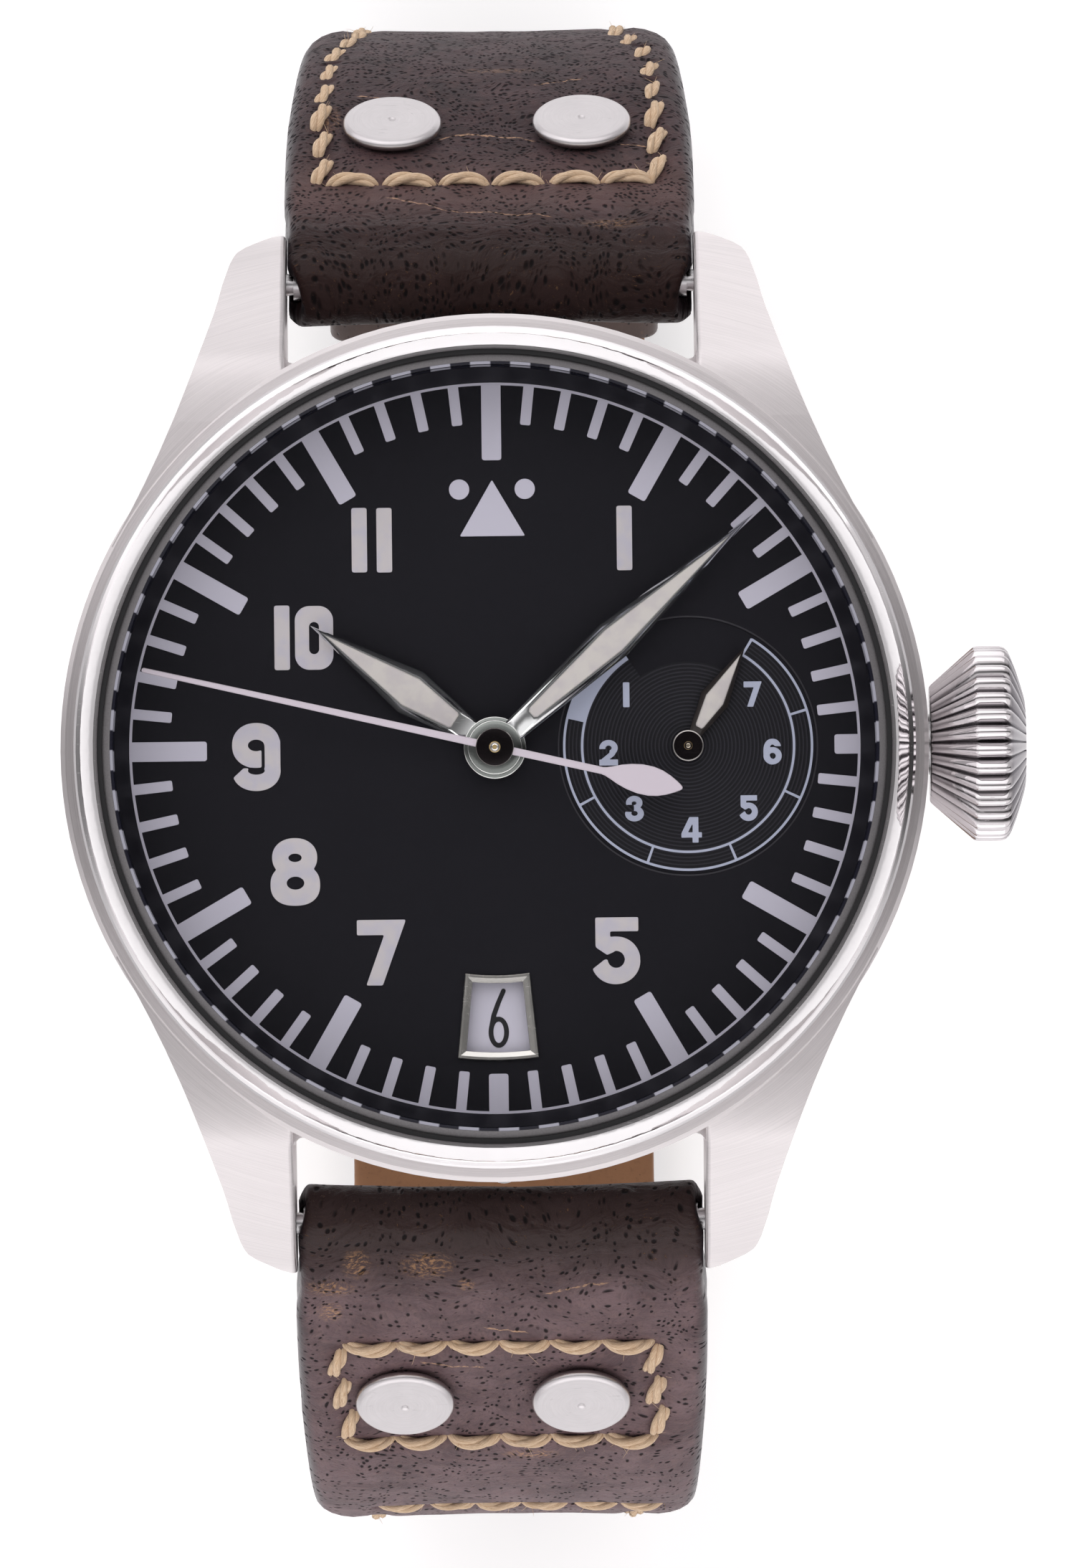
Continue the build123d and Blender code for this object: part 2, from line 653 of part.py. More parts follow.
# a small bridge over the fork, under the balance
with BuildPart() as pallet_bridge:
    with BuildSketch(Plane.XY.offset(4.72)):
        with Locations(Location((pallet_c[0], pallet_c[1], 0), (0, 0, ang))):
            Rectangle(0.9, 7.4)
            Circle(0.2, mode=Mode.SUBTRACT)
    extrude(amount=0.18)
    with BuildSketch(Plane.XY.offset(4.9)):
        with Locations(Location((pallet_c[0], pallet_c[1], 0), (0, 0, ang))):
            with Locations((0, 3.3), (0, -3.3)):
                Rectangle(0.9, 0.8)
    extrude(amount=1.45)
save(pallet_bridge, "pallet_bridge")

with BuildPart() as balance_wheel:
    disc(5.1, 4.3, 0.35, balance_c, r_in=4.4)
    with BuildSketch(Plane.XY.offset(4.35)):
        with Locations(Location((balance_c[0], balance_c[1], 0), (0, 0, 20))):
            Rectangle(9.0, 0.6)
            Rectangle(0.6, 9.0)
            Circle(0.8)
    extrude(amount=0.25)
    disc(0.2, 3.15, 4.0, balance_c)
    disc(0.7, 5.3, 0.25, balance_c)
    # impulse pin on the roller, pointing at the fork
    pin = (balance_c[0] - 1.45 * cos(radians(a_escape)), balance_c[1] - 1.45 * sin(radians(a_escape)))
    with BuildSketch(Plane.XY.offset(5.3)):
        with Locations(Location((balance_c[0] - 0.8 * cos(radians(a_escape)), balance_c[1] - 0.8 * sin(radians(a_escape)), 0), (0, 0, a_escape))):
            Rectangle(1.5, 0.4)
    extrude(amount=0.25)
    disc(0.12, 5.02, 0.3, pin)
    # timing screws around the rim
    with BuildSketch(Plane.XY.offset(4.38)):
        with Locations(*[(balance_c[0] + polar(5.18, a)[0], balance_c[1] + polar(5.18, a)[1]) for a in range(0, 360, 30)]):
            Circle(0.2)
    extrude(amount=0.2)
save(balance_wheel, "balance_wheel")

with BuildPart() as hairspring:
    with BuildSketch(Plane.XY.offset(3.9)):
        with BuildLine():
            pts = shifted(spiral_points(0.24, 2.9, 8, 0.07, 18), balance_c)
            Polyline(*pts, pts[0])
        make_face()
    extrude(amount=0.14)
save(hairspring, "hairspring")

with BuildPart() as barrel:
    gear(n_barrel, m4, ph_barrel, 5.45, 0.25, barrel_c)
    disc(6.1, 4.25, 1.45, barrel_c)
    disc(5.8, 4.42, 1.03, barrel_c, Mode.SUBTRACT)
    disc(0.85, 4.0, 2, barrel_c, Mode.SUBTRACT)
save(barrel, "barrel")

with BuildPart() as mainspring:
    with BuildSketch(Plane.XY.offset(4.5)):
        with BuildLine():
            pts = shifted(spiral_points(1.6, 5.68, 9, 0.16, 18), barrel_c)
            Polyline(*pts, pts[0])
        make_face()
    extrude(amount=0.85)
save(mainspring, "mainspring")

with BuildPart() as barrel_arbor:
    disc(0.78, 3.1, 4.6, barrel_c)
save(barrel_arbor, "barrel_arbor")

with BuildPart() as minute_wheel:
    gear(n_minute, m5, ph_minute, 8.12, 0.2, mw_c)
    gear(n_minute_p, m6, ph_minute_p, 8.32, 0.5, mw_c)
    disc(0.34, 8.0, 1.5, mw_c, Mode.SUBTRACT)
save(minute_wheel, "minute_wheel")

with BuildPart() as hour_wheel:
    gear(n_hour, m6, ph_hour, 8.56, 0.2, (0, 0))
    disc(1.15, 8.56, 1.95)
    disc(0.8, 8.0, 3, mode=Mode.SUBTRACT)
save(hour_wheel, "hour_wheel")

with BuildPart() as reserve_wheel:
    with BuildSketch(Plane.XY.offset(8.1)):
        with BuildLine():
            pts = shifted(gear_points(40, 2.2, 0.11, 0), (reserve_x, 0))
            Polyline(*pts, pts[0])
        make_face()
    extrude(amount=0.2)
    disc(0.3, 6.6, 3.45, (reserve_x, 0))
save(reserve_wheel, "reserve_wheel")

# ================================================================ hands
def hand_outline(angle, pts):
    # pts: (distance along the hand, half width), mirrored about the hand's line
    a = radians(90 - angle)
    u, v = (cos(a), sin(a)), (-sin(a), cos(a))
    side = [(r * u[0] + w * v[0], r * u[1] + w * v[1]) for r, w in pts]
    other = [(r * u[0] - w * v[0], r * u[1] - w * v[1]) for r, w in pts if w > 1e-6]
    out = side + other[::-1]
    return out + [out[0]]


with BuildPart() as hour_hand:
    with BuildSketch(Plane.XY.offset(10.18)):
        with BuildLine():
            Polyline(*hand_outline(hour_angle, [(1.0, 0.62), (1.55, 0.62), (5.35, 1.26), (11.8, 0.0)]))
        make_face()
        Circle(1.67)
        Circle(1.15, mode=Mode.SUBTRACT)
    extrude(amount=0.32)
save(hour_hand, "hour_hand")

with BuildPart() as minute_hand:
    with BuildSketch(Plane.XY.offset(10.8)):
        with BuildLine():
            Polyline(*hand_outline(minute_angle, [(0.9, 0.62), (1.4, 0.62), (8.5, 1.075), (18.6, 0.0)]))
        make_face()
        Circle(1.46)
        Circle(0.75, mode=Mode.SUBTRACT)
    extrude(amount=0.32)
save(minute_hand, "minute_hand")

leaf = [(-6.0, 0.2), (-6.6, 0.42), (-7.3, 0.66), (-8.0, 0.79), (-8.7, 0.76), (-9.4, 0.55), (-9.9, 0.28), (-10.2, 0.06)]
with BuildPart() as seconds_hand:
    with BuildSketch(Plane.XY.offset(11.4)):
        with BuildLine():
            Polyline(*hand_outline(second_angle, leaf[::-1] + [(0.0, 0.21), (19.2, 0.135)]))
        make_face()
        Circle(1.02)
    extrude(amount=0.18)
    disc(1.02, 11.3, 0.4)
    disc(0.3, 11.0, 1, mode=Mode.SUBTRACT)
save(seconds_hand, "seconds_hand")

with BuildPart() as reserve_hand:
    with BuildSketch(Plane.XY.offset(9.85)):
        with BuildLine():
            Polyline(*shifted(hand_outline(reserve_angle, [(0.5, 0.34), (0.85, 0.36), (2.85, 0.65), (6.05, 0.0)]), (reserve_x, 0)))
        make_face()
        with Locations((reserve_x, 0)):
            Circle(0.82)
            Circle(0.3, mode=Mode.SUBTRACT)
    extrude(amount=0.2)
save(reserve_hand, "reserve_hand")

# ================================================================ crown and winding
with BuildPart() as crown_tube:
    with BuildSketch(Plane.YZ.offset(19.8)):
        with Locations((0, stem_z)):
            Circle(1.24)
            Circle(0.75, mode=Mode.SUBTRACT)
    extrude(amount=4.7)
save(crown_tube, "crown_tube")


def lobed(r, depth, n=crown_lobes, k=6):
    pts = []
    for i in range(n * k):
        a = 2 * pi * i / (n * k)
        f = abs(sin(n * a / 2))          # round ridges with sharp valleys between
        pts.append(((r - depth * (1 - f)) * cos(a), (r - depth * (1 - f)) * sin(a)))
    return pts + [pts[0]]


with BuildPart() as crown:
    for x0, r0, x1, r1 in ((crown_x0, crown_r0, crown_x1, crown_r1), (crown_x1, crown_r1, crown_x2, crown_r1), (crown_x2, crown_r1, crown_x3, crown_r3)):
        with BuildSketch(Plane.YZ.offset(x0)):
            with BuildLine():
                Polyline(*shifted(lobed(r0, 0.09 * r0), (0, stem_z)))
            make_face()
        with BuildSketch(Plane.YZ.offset(x1)):
            with BuildLine():
                Polyline(*shifted(lobed(r1, 0.09 * r1), (0, stem_z)))
            make_face()
        loft(ruled=True)
    # recess for the tube and its seal, and the threaded bore of the stem
    with BuildSketch(Plane.YZ.offset(crown_x0)):
        with Locations((0, stem_z)):
            Circle(1.62)
    extrude(amount=1.75, mode=Mode.SUBTRACT)
    with BuildSketch(Plane.YZ.offset(crown_x0)):
        with Locations((0, stem_z)):
            Circle(0.5)
    extrude(amount=3.3, mode=Mode.SUBTRACT)
save(crown, "crown")

with BuildPart() as crown_gasket:
    with BuildSketch(Plane.YZ.offset(23.55)):
        with Locations((0, stem_z)):
            Circle(1.6)
            Circle(1.27, mode=Mode.SUBTRACT)
    extrude(amount=0.6)
save(crown_gasket, "crown_gasket")

with BuildPart() as winding_stem:
    with BuildSketch(Plane.YZ.offset(13.0)):
        with Locations((0, stem_z)):
            Circle(0.5)
    extrude(amount=13.4)
    # groove for the setting lever
    with BuildSketch(Plane.YZ.offset(15.65)):
        with Locations((0, stem_z)):
            Circle(0.6)
            Circle(0.3, mode=Mode.SUBTRACT)
    extrude(amount=0.5, mode=Mode.SUBTRACT)
save(winding_stem, "winding_stem")

with BuildPart() as setting_lever:
    with BuildSketch(Plane.XY.offset(7.6)):
        with Locations((15.9, 0.85)):
            Rectangle(1.2, 2.9)
    extrude(amount=0.3)
    disc(0.18, 7.26, 0.34, (15.9, 0))
save(setting_lever, "setting_lever")

# ================================================================ spring bars
def spring_bar(y, z, body_half, pin_half, r_body, r_pin):
    for x0, x1, r in ((-pin_half, pin_half, r_pin), (-body_half, body_half, r_body)):
        with BuildSketch(Plane.YZ.offset(x0)) as sk:
            with Locations((y, z)):
                Circle(r)
        extrude(sk.sketch, amount=x1 - x0)


with BuildPart() as spring_bar_12:
    spring_bar(bar_y, bar_z, 10.6, 12.3, bar_r, bar_pin_r)
save(spring_bar_12, "spring_bar_12")
with BuildPart() as spring_bar_6:
    spring_bar(-bar_y, bar_z, 10.6, 12.3, bar_r, bar_pin_r)
save(spring_bar_6, "spring_bar_6")


# ================================================================ strap halves
def strap_solid(path, total, lo, hi, s0, s1, mirror_y):
    # short stretches, each of its own width, joined end to end
    marks = [s0] + [m for m in (14.0, 22.0, 30.0, 38.0, 46.0, 54.0, 62.0, 70.0) if s0 + 1 < m < s1 - 1] + [s1]
    for a, b in zip(marks[:-1], marks[1:]):
        w = width_at((a + b) / 2, total)
        with BuildSketch(Plane.YZ.offset(-w / 2)) as sk:
            with BuildLine():
                pts = band(path, a, b, lo, hi, mirror_y)
                Polyline(*pts, pts[0])
            make_face()
        extrude(sk.sketch, amount=w)


def hole_through(path, s, r, x, mirror_y, t):
    y, z, a = at(path, s)
    n = (0, mirror_y * sin(radians(a)), cos(radians(a)))
    o = (x, mirror_y * y - n[1] * 6, z - n[2] * 6)
    with BuildSketch(Plane(origin=o, x_dir=(1, 0, 0), z_dir=n)) as sk:
        Circle(r)
    extrude(sk.sketch, amount=12, mode=Mode.SUBTRACT)


t12 = lambda s: thick(s, strap_t0, strap_t1)
t6 = lambda s: thick(s, strap6_t0, strap6_t1)
riv12_s, riv12_x = 12.8, 5.2
riv6_s, riv6_x = 12.7, 4.82
riv12_dx, riv6_dx = -0.1, -0.56           # the pairs sit a little to the left
rivet_r = 2.7
nose12_r, nose6_r = 2.15, 1.85
lining0 = 9.0
buckle_slot = 2.6

for name, path, total, tf, my, nose_r, rs, rxs in (
        ("12", path12, s12_end, t12, 1, nose12_r, riv12_s, (riv12_dx - riv12_x, riv12_dx + riv12_x)),
        ("6", path6, s6_end, t6, -1, nose6_r, riv6_s, (riv6_dx - riv6_x, riv6_dx + riv6_x))):
    with BuildPart() as strap:
        strap_solid(path, total, lambda s: -tf(s) / 2 + (lining_t if s > lining0 - 1e-6 else 0.0), lambda s: tf(s) / 2, lining0, total, my)
        w = strap_w_lug
        ends = lambda s: min(tf(s) / 2, nose_r + 0.12 * s)
        with BuildSketch(Plane.YZ.offset(-w / 2)):
            with BuildLine():
                pts = band(path, 0.0, lining0, lambda s: -ends(s), ends, my)
                Polyline(*pts, pts[0])
            make_face()
            with Locations((my * bar_y, bar_z)):
                Circle(nose_r)
        extrude(amount=w)
        with BuildSketch(Plane.YZ.offset(-w / 2 - 1)):
            with Locations((my * bar_y, bar_z)):
                Circle(strap_bore_r)
        extrude(amount=w + 2, mode=Mode.SUBTRACT)
        if name == "12":
            # loop round the buckle bar with a slot for the tang
            be = at(path, total)
            w2 = width_at(total, total)
            with BuildSketch(Plane.YZ.offset(-w2 / 2)):
                with Locations((be[0], be[1])):
                    Circle(strap_t1 / 2)
            extrude(amount=w2)
            with BuildSketch(Plane.YZ.offset(-w2 / 2 - 1)):
                with Locations((be[0], be[1])):
                    Circle(0.8)
            extrude(amount=w2 + 2, mode=Mode.SUBTRACT)
            with BuildSketch(Plane.XY.offset(floor_z)):
                with Locations((0, be[0] - 1.0)):
                    Rectangle(buckle_slot, 9.0)
            extrude(amount=9, mode=Mode.SUBTRACT)
        else:
            # pointed round tip and the row of holes
            with BuildSketch(Plane.XY.offset(floor_z - 1)):
                with BuildLine():
                    ty = -path6[-1][0]
                    w2 = width_at(total, total)
                    l1 = ThreePointArc((-w2 / 2 - 0.2, ty - 9.0), (0, ty), (w2 / 2 + 0.2, ty - 9.0))
                    Polyline(l1 @ 1, (w2 / 2 + 0.2, ty + 3), (-w2 / 2 - 0.2, ty + 3), l1 @ 0)
                make_face()
            extrude(amount=6, mode=Mode.SUBTRACT)
        for x in rxs:
            hole_through(path, rs, 1.2, x, my, 6)
        if name == "6":
            for i in range(7):
                hole_through(path, total - 13.0 - 6.0 * i, 0.95, 0, my, 6)
    save(strap, "strap_" + name)

    with BuildPart() as lining:
        end = total - (3.0 if name == "12" else 0.0)
        strap_solid(path, total, lambda s: -tf(s) / 2, lambda s: -tf(s) / 2 + lining_t, lining0, end, my)
        if name == "12":
            with BuildSketch(Plane.XY.offset(floor_z)):
                with Locations((0, at(path, total)[0] - 1.0)):
                    Rectangle(buckle_slot, 9.0)
            extrude(amount=9, mode=Mode.SUBTRACT)
        if name == "6":
            with BuildSketch(Plane.XY.offset(floor_z - 1)):
                with BuildLine():
                    ty = -path6[-1][0]
                    w2 = width_at(total, total)
                    l1 = ThreePointArc((-w2 / 2 - 0.2, ty - 9.0), (0, ty), (w2 / 2 + 0.2, ty - 9.0))
                    Polyline(l1 @ 1, (w2 / 2 + 0.2, ty + 3), (-w2 / 2 - 0.2, ty + 3), l1 @ 0)
                make_face()
            extrude(amount=6, mode=Mode.SUBTRACT)
        for x in rxs:
            hole_through(path, rs, 1.2, x, my, 6)
        if name == "6":
            for i in range(7):
                hole_through(path, total - 13.0 - 6.0 * i, 0.95, 0, my, 6)
    save(lining, "strap_" + name + "_lining")

    with BuildPart() as rivets:
        y, z, a = at(path, rs)
        n = (0, my * sin(radians(a)), cos(radians(a)))
        for x in rxs:
            o = lambda d: (x, my * y + n[1] * d, z + n[2] * d)
            h = tf(rs) / 2 + 0.06
            hi = tf(rs) / 2 + 0.17
            with BuildSketch(Plane(origin=o(h), x_dir=(1, 0, 0), z_dir=n)):
                Circle(rivet_r)
            extrude(amount=0.5)
            with BuildSketch(Plane(origin=o(-hi - 0.35), x_dir=(1, 0, 0), z_dir=n)):
                Circle(2.2)
            extrude(amount=0.35)
            with BuildSketch(Plane(origin=o(-hi), x_dir=(1, 0, 0), z_dir=n)):
                Circle(1.15)
            extrude(amount=h + hi)
    save(rivets, "rivets_" + name)

# ---------------------------------------------------------------- stitching
def stitch(path, s, x, along, tf, my):
    # a short thread lying on the outer face
    y, z, a = at(path, s)
    n = (0, my * sin(radians(a)), cos(radians(a)))
    d = tf(s) / 2 + 0.05
    o = (x, my * y + n[1] * d, z + n[2] * d)
    with BuildSketch(Plane(origin=o, x_dir=(1, 0, 0), z_dir=n)) as sk:
        if along:
            Rectangle(0.55, 2.3)
        else:
            Rectangle(2.3, 0.55)
    extrude(sk.sketch, amount=0.3)


def column(s):
    # the side seams run in towards the buckle end
    return 9.12 - 1.92 * max(0.0, min(1.0, (s - 18.0) / 12.0))


with BuildPart() as stitching_12:
    for i in range(6):
        stitch(path12, 6.8, -7.6 + 3.04 * i, False, t12, 1)
    for sx in (-1, 1):
        s = 8.0
        while s < s12_end - 22:
            stitch(path12, s, sx * column(s), True, t12, 1)
            s += 3.19
save(stitching_12, "stitching_12")

with BuildPart() as stitching_6:
    for srow in (7.8, 16.9, 27.0):
        for i in range(6):
            stitch(path6, srow, -7.6 + 3.04 * i, False, t6, -1)
    for sx in (-1, 1):
        for s in (9.3, 12.3, 15.2):
            stitch(path6, s, sx * 8.8, True, t6, -1)
        s = 31.5
        while s < s6_end - tail_len - arc_len(corner_r, 0, 16):
            # these end above the table, where the strap begins to lie flat
            stitch(path6, s, sx * column(s), True, t6, -1)
            s += 3.0
save(stitching_6, "stitching_6")

# ---------------------------------------------------------------- keepers
def keeper(path, s, w_in, inner, outer, t_wall, length, my):
    # a leather loop around the strap with room for the other half on the outside
    y, z, a = at(path, s)
    n = (0, my * sin(radians(a)), cos(radians(a)))
    t = (0, my * cos(radians(a)), -sin(radians(a)))
    o = (-t[0] * length / 2, my * y - t[1] * length / 2, z - t[2] * length / 2)
    with BuildSketch(Plane(origin=o, x_dir=(1, 0, 0), z_dir=t)) as sk:
        h = inner + outer
        # the local y of this plane points inwards or outwards, set by the two axes
        yd = Vector(*t).cross(Vector(1, 0, 0))
        sgn = 1 if yd.dot(Vector(*n)) > 0 else -1
        with Locations((0, sgn * (outer - inner) / 2)):
            RectangleRounded(w_in + 2 * t_wall, h + 2 * t_wall, 0.9)
            RectangleRounded(w_in, h, 0.4, mode=Mode.SUBTRACT)
    extrude(sk.sketch, amount=length)


s_fixed = s12_end - 9.0
with BuildPart() as fixed_keeper:
    keeper(path12, s_fixed, width_at(s_fixed, s12_end) + 0.1, strap_t1 / 2 + 0.32, strap_t1 / 2 + 2.1, 0.75, 4.6, 1)
save(fixed_keeper, "fixed_keeper")
s_float = s12_leg1 + arc_len(corner_r, 0, 36)   # on the round corner, whose centre it turns about
with BuildPart() as floating_keeper:
    keeper(path12, s_float, 19.7, strap_t1 / 2 + 0.35, strap_t1 / 2 + 2.4, 1.0, 5.0, 1)
save(floating_keeper, "floating_keeper")

# ---------------------------------------------------------------- pin buckle
be = at(path12, s12_end)
bby, bbz = be[0], be[1]
front_y, front_z = bby - 12.2, floor_z + 3.51
with BuildPart() as buckle_bar:
    spring_bar(bby, bbz, 9.15, 10.6, 0.75, 0.5)
save(buckle_bar, "buckle_bar")

drop = bbz - front_z
run = bby - front_y
slope = atan2(drop, run)
flen = hypot(drop, run)
# frame plane: local x along X, local y towards the bar, origin at the front bar
fy = (0, cos(slope), sin(slope))
fz = (0, -sin(slope), cos(slope))
with BuildPart() as buckle_frame:
    with BuildSketch(Plane(origin=(0, front_y - fz[1] * 1.3, front_z - fz[2] * 1.3), x_dir=(1, 0, 0), z_dir=fz)):
        with Locations((0, flen / 2 - 0.15)):
            RectangleRounded(23.4, flen + 2.9, 1.2)
        with Locations((0, flen / 2 + 1.6)):
            Rectangle(18.7, flen + 1.0, mode=Mode.SUBTRACT)
    extrude(amount=2.6)
    fillet(buckle_frame.edges().filter_by(GeomType.LINE).group_by(Axis.X)[-1], 0.6)
    # holes for the bar
    with BuildSketch(Plane.YZ.offset(-10.8)):
        with Locations((bby, bbz)):
            Circle(0.52)
    extrude(amount=21.6, mode=Mode.SUBTRACT)
save(buckle_frame, "buckle_frame")

# the tang lies on the outer side of the front bar, which faces the table here
tang_r = 0.85
tip_y = front_y - fz[1] * (1.3 + tang_r + 0.31)
tip_z = front_z - fz[2] * (1.3 + tang_r + 0.31)
with BuildPart() as buckle_tang:
    with BuildSketch(Plane.YZ.offset(-1.1)):
        with Locations((bby, bbz)):
            Circle(1.5)
    extrude(amount=2.2)
    tl = hypot(bby - tip_y, tip_z - bbz)
    td = (0, (tip_y - bby) / tl, (tip_z - bbz) / tl)
    with BuildSketch(Plane(origin=(0, bby, bbz), x_dir=(1, 0, 0), z_dir=td)):
        Circle(tang_r)
    extrude(amount=tl + 1.1)
    with BuildSketch(Plane.YZ.offset(-2)):
        with Locations((bby, bbz)):
            Circle(0.8)
    extrude(amount=4, mode=Mode.SUBTRACT)
save(buckle_tang, "buckle_tang")

print("bar", bby, bbz, "front", front_y, front_z, "float s", s_float, at(path12, s_float), "fixed", at(path12, s_fixed))
print("gears", third_c, escape_c, pallet_c, balance_c, barrel_c, mw_c)
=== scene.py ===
import bpy
import bmesh
import math
import random
import numpy as np
from mathutils import Vector, Matrix, noise
from mathutils.geometry import tessellate_polygon


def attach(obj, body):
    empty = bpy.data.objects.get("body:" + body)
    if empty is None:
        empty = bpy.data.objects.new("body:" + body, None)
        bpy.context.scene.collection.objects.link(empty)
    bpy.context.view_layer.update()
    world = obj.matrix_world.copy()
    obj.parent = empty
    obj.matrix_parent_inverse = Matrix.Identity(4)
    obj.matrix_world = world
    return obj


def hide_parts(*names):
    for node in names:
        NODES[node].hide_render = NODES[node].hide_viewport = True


# Pilot wristwatch. Lengths in this file are millimetres until a mesh is made.
# +Z leaves the dial, +Y points to 12 o'clock, +X points to the crown.
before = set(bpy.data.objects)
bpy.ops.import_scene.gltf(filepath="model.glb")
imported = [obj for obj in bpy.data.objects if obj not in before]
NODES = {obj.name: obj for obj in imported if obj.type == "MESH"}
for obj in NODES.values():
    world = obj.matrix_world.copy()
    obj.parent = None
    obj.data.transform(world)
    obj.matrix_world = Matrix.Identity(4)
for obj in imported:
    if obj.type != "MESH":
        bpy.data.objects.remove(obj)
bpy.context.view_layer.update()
MM = 0.001
RNG = random.Random(11)
scene = bpy.context.scene


# ============================================================ node helpers
class Mat:
    """A Principled material with short calls for the nodes around it."""

    def __init__(self, name):
        self.m = bpy.data.materials.new(name)
        self.m.use_nodes = True
        self.nt = self.m.node_tree
        self.nt.nodes.clear()
        self.out = self.nt.nodes.new("ShaderNodeOutputMaterial")
        self.p = self.nt.nodes.new("ShaderNodeBsdfPrincipled")
        self.nt.links.new(self.p.outputs[0], self.out.inputs[0])

    def node(self, kind, **props):
        n = self.nt.nodes.new(kind)
        for k, v in props.items():
            setattr(n, k, v)
        return n

    def put(self, socket, value):
        if isinstance(value, bpy.types.NodeSocket):
            self.nt.links.new(value, socket)
        else:
            socket.default_value = value

    def set(self, **values):
        names = {"base": "Base Color", "metal": "Metallic", "rough": "Roughness", "alpha": "Alpha", "normal": "Normal",
                 "spec": "Specular IOR Level", "aniso": "Anisotropic", "anisorot": "Anisotropic Rotation", "tangent": "Tangent",
                 "sheen": "Sheen Weight", "sheenrough": "Sheen Roughness", "coat": "Coat Weight", "coatrough": "Coat Roughness",
                 "ior": "IOR", "subs": "Subsurface Weight", "sheentint": "Sheen Tint", "emit": "Emission Strength", "emitcol": "Emission Color"}
        for k, v in values.items():
            if isinstance(v, tuple) and len(v) == 3 and k in ("base", "sheentint", "emitcol"):
                v = (*v, 1.0)
            self.put(self.p.inputs[names[k]], v)
        return self

    def obj(self):
        return self.node("ShaderNodeTexCoord").outputs["Object"]

    def uv(self, name="skin"):
        n = self.node("ShaderNodeUVMap", uv_map=name)
        return n.outputs[0]

    def sep(self, v):
        n = self.node("ShaderNodeSeparateXYZ")
        self.put(n.inputs[0], v)
        return n.outputs[0], n.outputs[1], n.outputs[2]

    def comb(self, x, y, z=0.0):
        n = self.node("ShaderNodeCombineXYZ")
        for s, v in zip(n.inputs, (x, y, z)):
            self.put(s, v)
        return n.outputs[0]

    def math(self, op, a, b=0.0, c=None, clamp=False):
        n = self.node("ShaderNodeMath", operation=op, use_clamp=clamp)
        self.put(n.inputs[0], a)
        self.put(n.inputs[1], b)
        if c is not None:
            self.put(n.inputs[2], c)
        return n.outputs[0]

    def vmath(self, op, a, b=(0, 0, 0), scale=None):
        n = self.node("ShaderNodeVectorMath", operation=op)
        self.put(n.inputs[0], a)
        if op != "SCALE" and op != "LENGTH":
            self.put(n.inputs[1], b)
        if scale is not None:
            self.put(n.inputs["Scale"], scale)
        return n.outputs["Value"] if op == "LENGTH" else n.outputs[0]

    def noise(self, v, scale, detail=3.0, rough=0.55, distort=0.0):
        n = self.node("ShaderNodeTexNoise")
        self.put(n.inputs["Vector"], v)
        n.inputs["Scale"].default_value = scale
        n.inputs["Detail"].default_value = detail
        n.inputs["Roughness"].default_value = rough
        n.inputs["Distortion"].default_value = distort
        return n.outputs[0]

    def voronoi(self, v, scale, feature="F1", rand=1.0):
        n = self.node("ShaderNodeTexVoronoi", feature=feature)
        self.put(n.inputs["Vector"], v)
        n.inputs["Scale"].default_value = scale
        n.inputs["Randomness"].default_value = rand
        return n.outputs["Distance"]

    def ramp(self, f, a, b, lo=0.0, hi=1.0, smooth=True):
        n = self.node("ShaderNodeMapRange", interpolation_type="SMOOTHSTEP" if smooth else "LINEAR")
        for s, v in zip(n.inputs, (f, a, b, lo, hi)):
            self.put(s, v)
        return n.outputs[0]

    def mix(self, f, a, b, blend="MIX"):
        n = self.node("ShaderNodeMix", data_type="RGBA", blend_type=blend)
        self.put(n.inputs["Factor"], f)
        for s, v in ((n.inputs[6], a), (n.inputs[7], b)):
            self.put(s, (*v, 1.0) if isinstance(v, tuple) and len(v) == 3 else v)
        return n.outputs[2]

    def mixf(self, f, a, b):
        n = self.node("ShaderNodeMix", data_type="FLOAT")
        self.put(n.inputs["Factor"], f)
        self.put(n.inputs[2], a)
        self.put(n.inputs[3], b)
        return n.outputs[0]

    def bump(self, height, dist, strength=1.0, normal=None):
        n = self.node("ShaderNodeBump")
        self.put(n.inputs["Height"], height)
        n.inputs["Distance"].default_value = dist * MM
        n.inputs["Strength"].default_value = strength
        if normal is not None:
            self.put(n.inputs["Normal"], normal)
        return n.outputs[0]

    def mm(self, v):
        return self.vmath("SCALE", v, scale=1000.0)


def srgb(r, g, b):
    def f(c):
        c /= 255.0
        return c / 12.92 if c <= 0.04045 else ((c + 0.055) / 1.055) ** 2.4
    return (f(r), f(g), f(b))


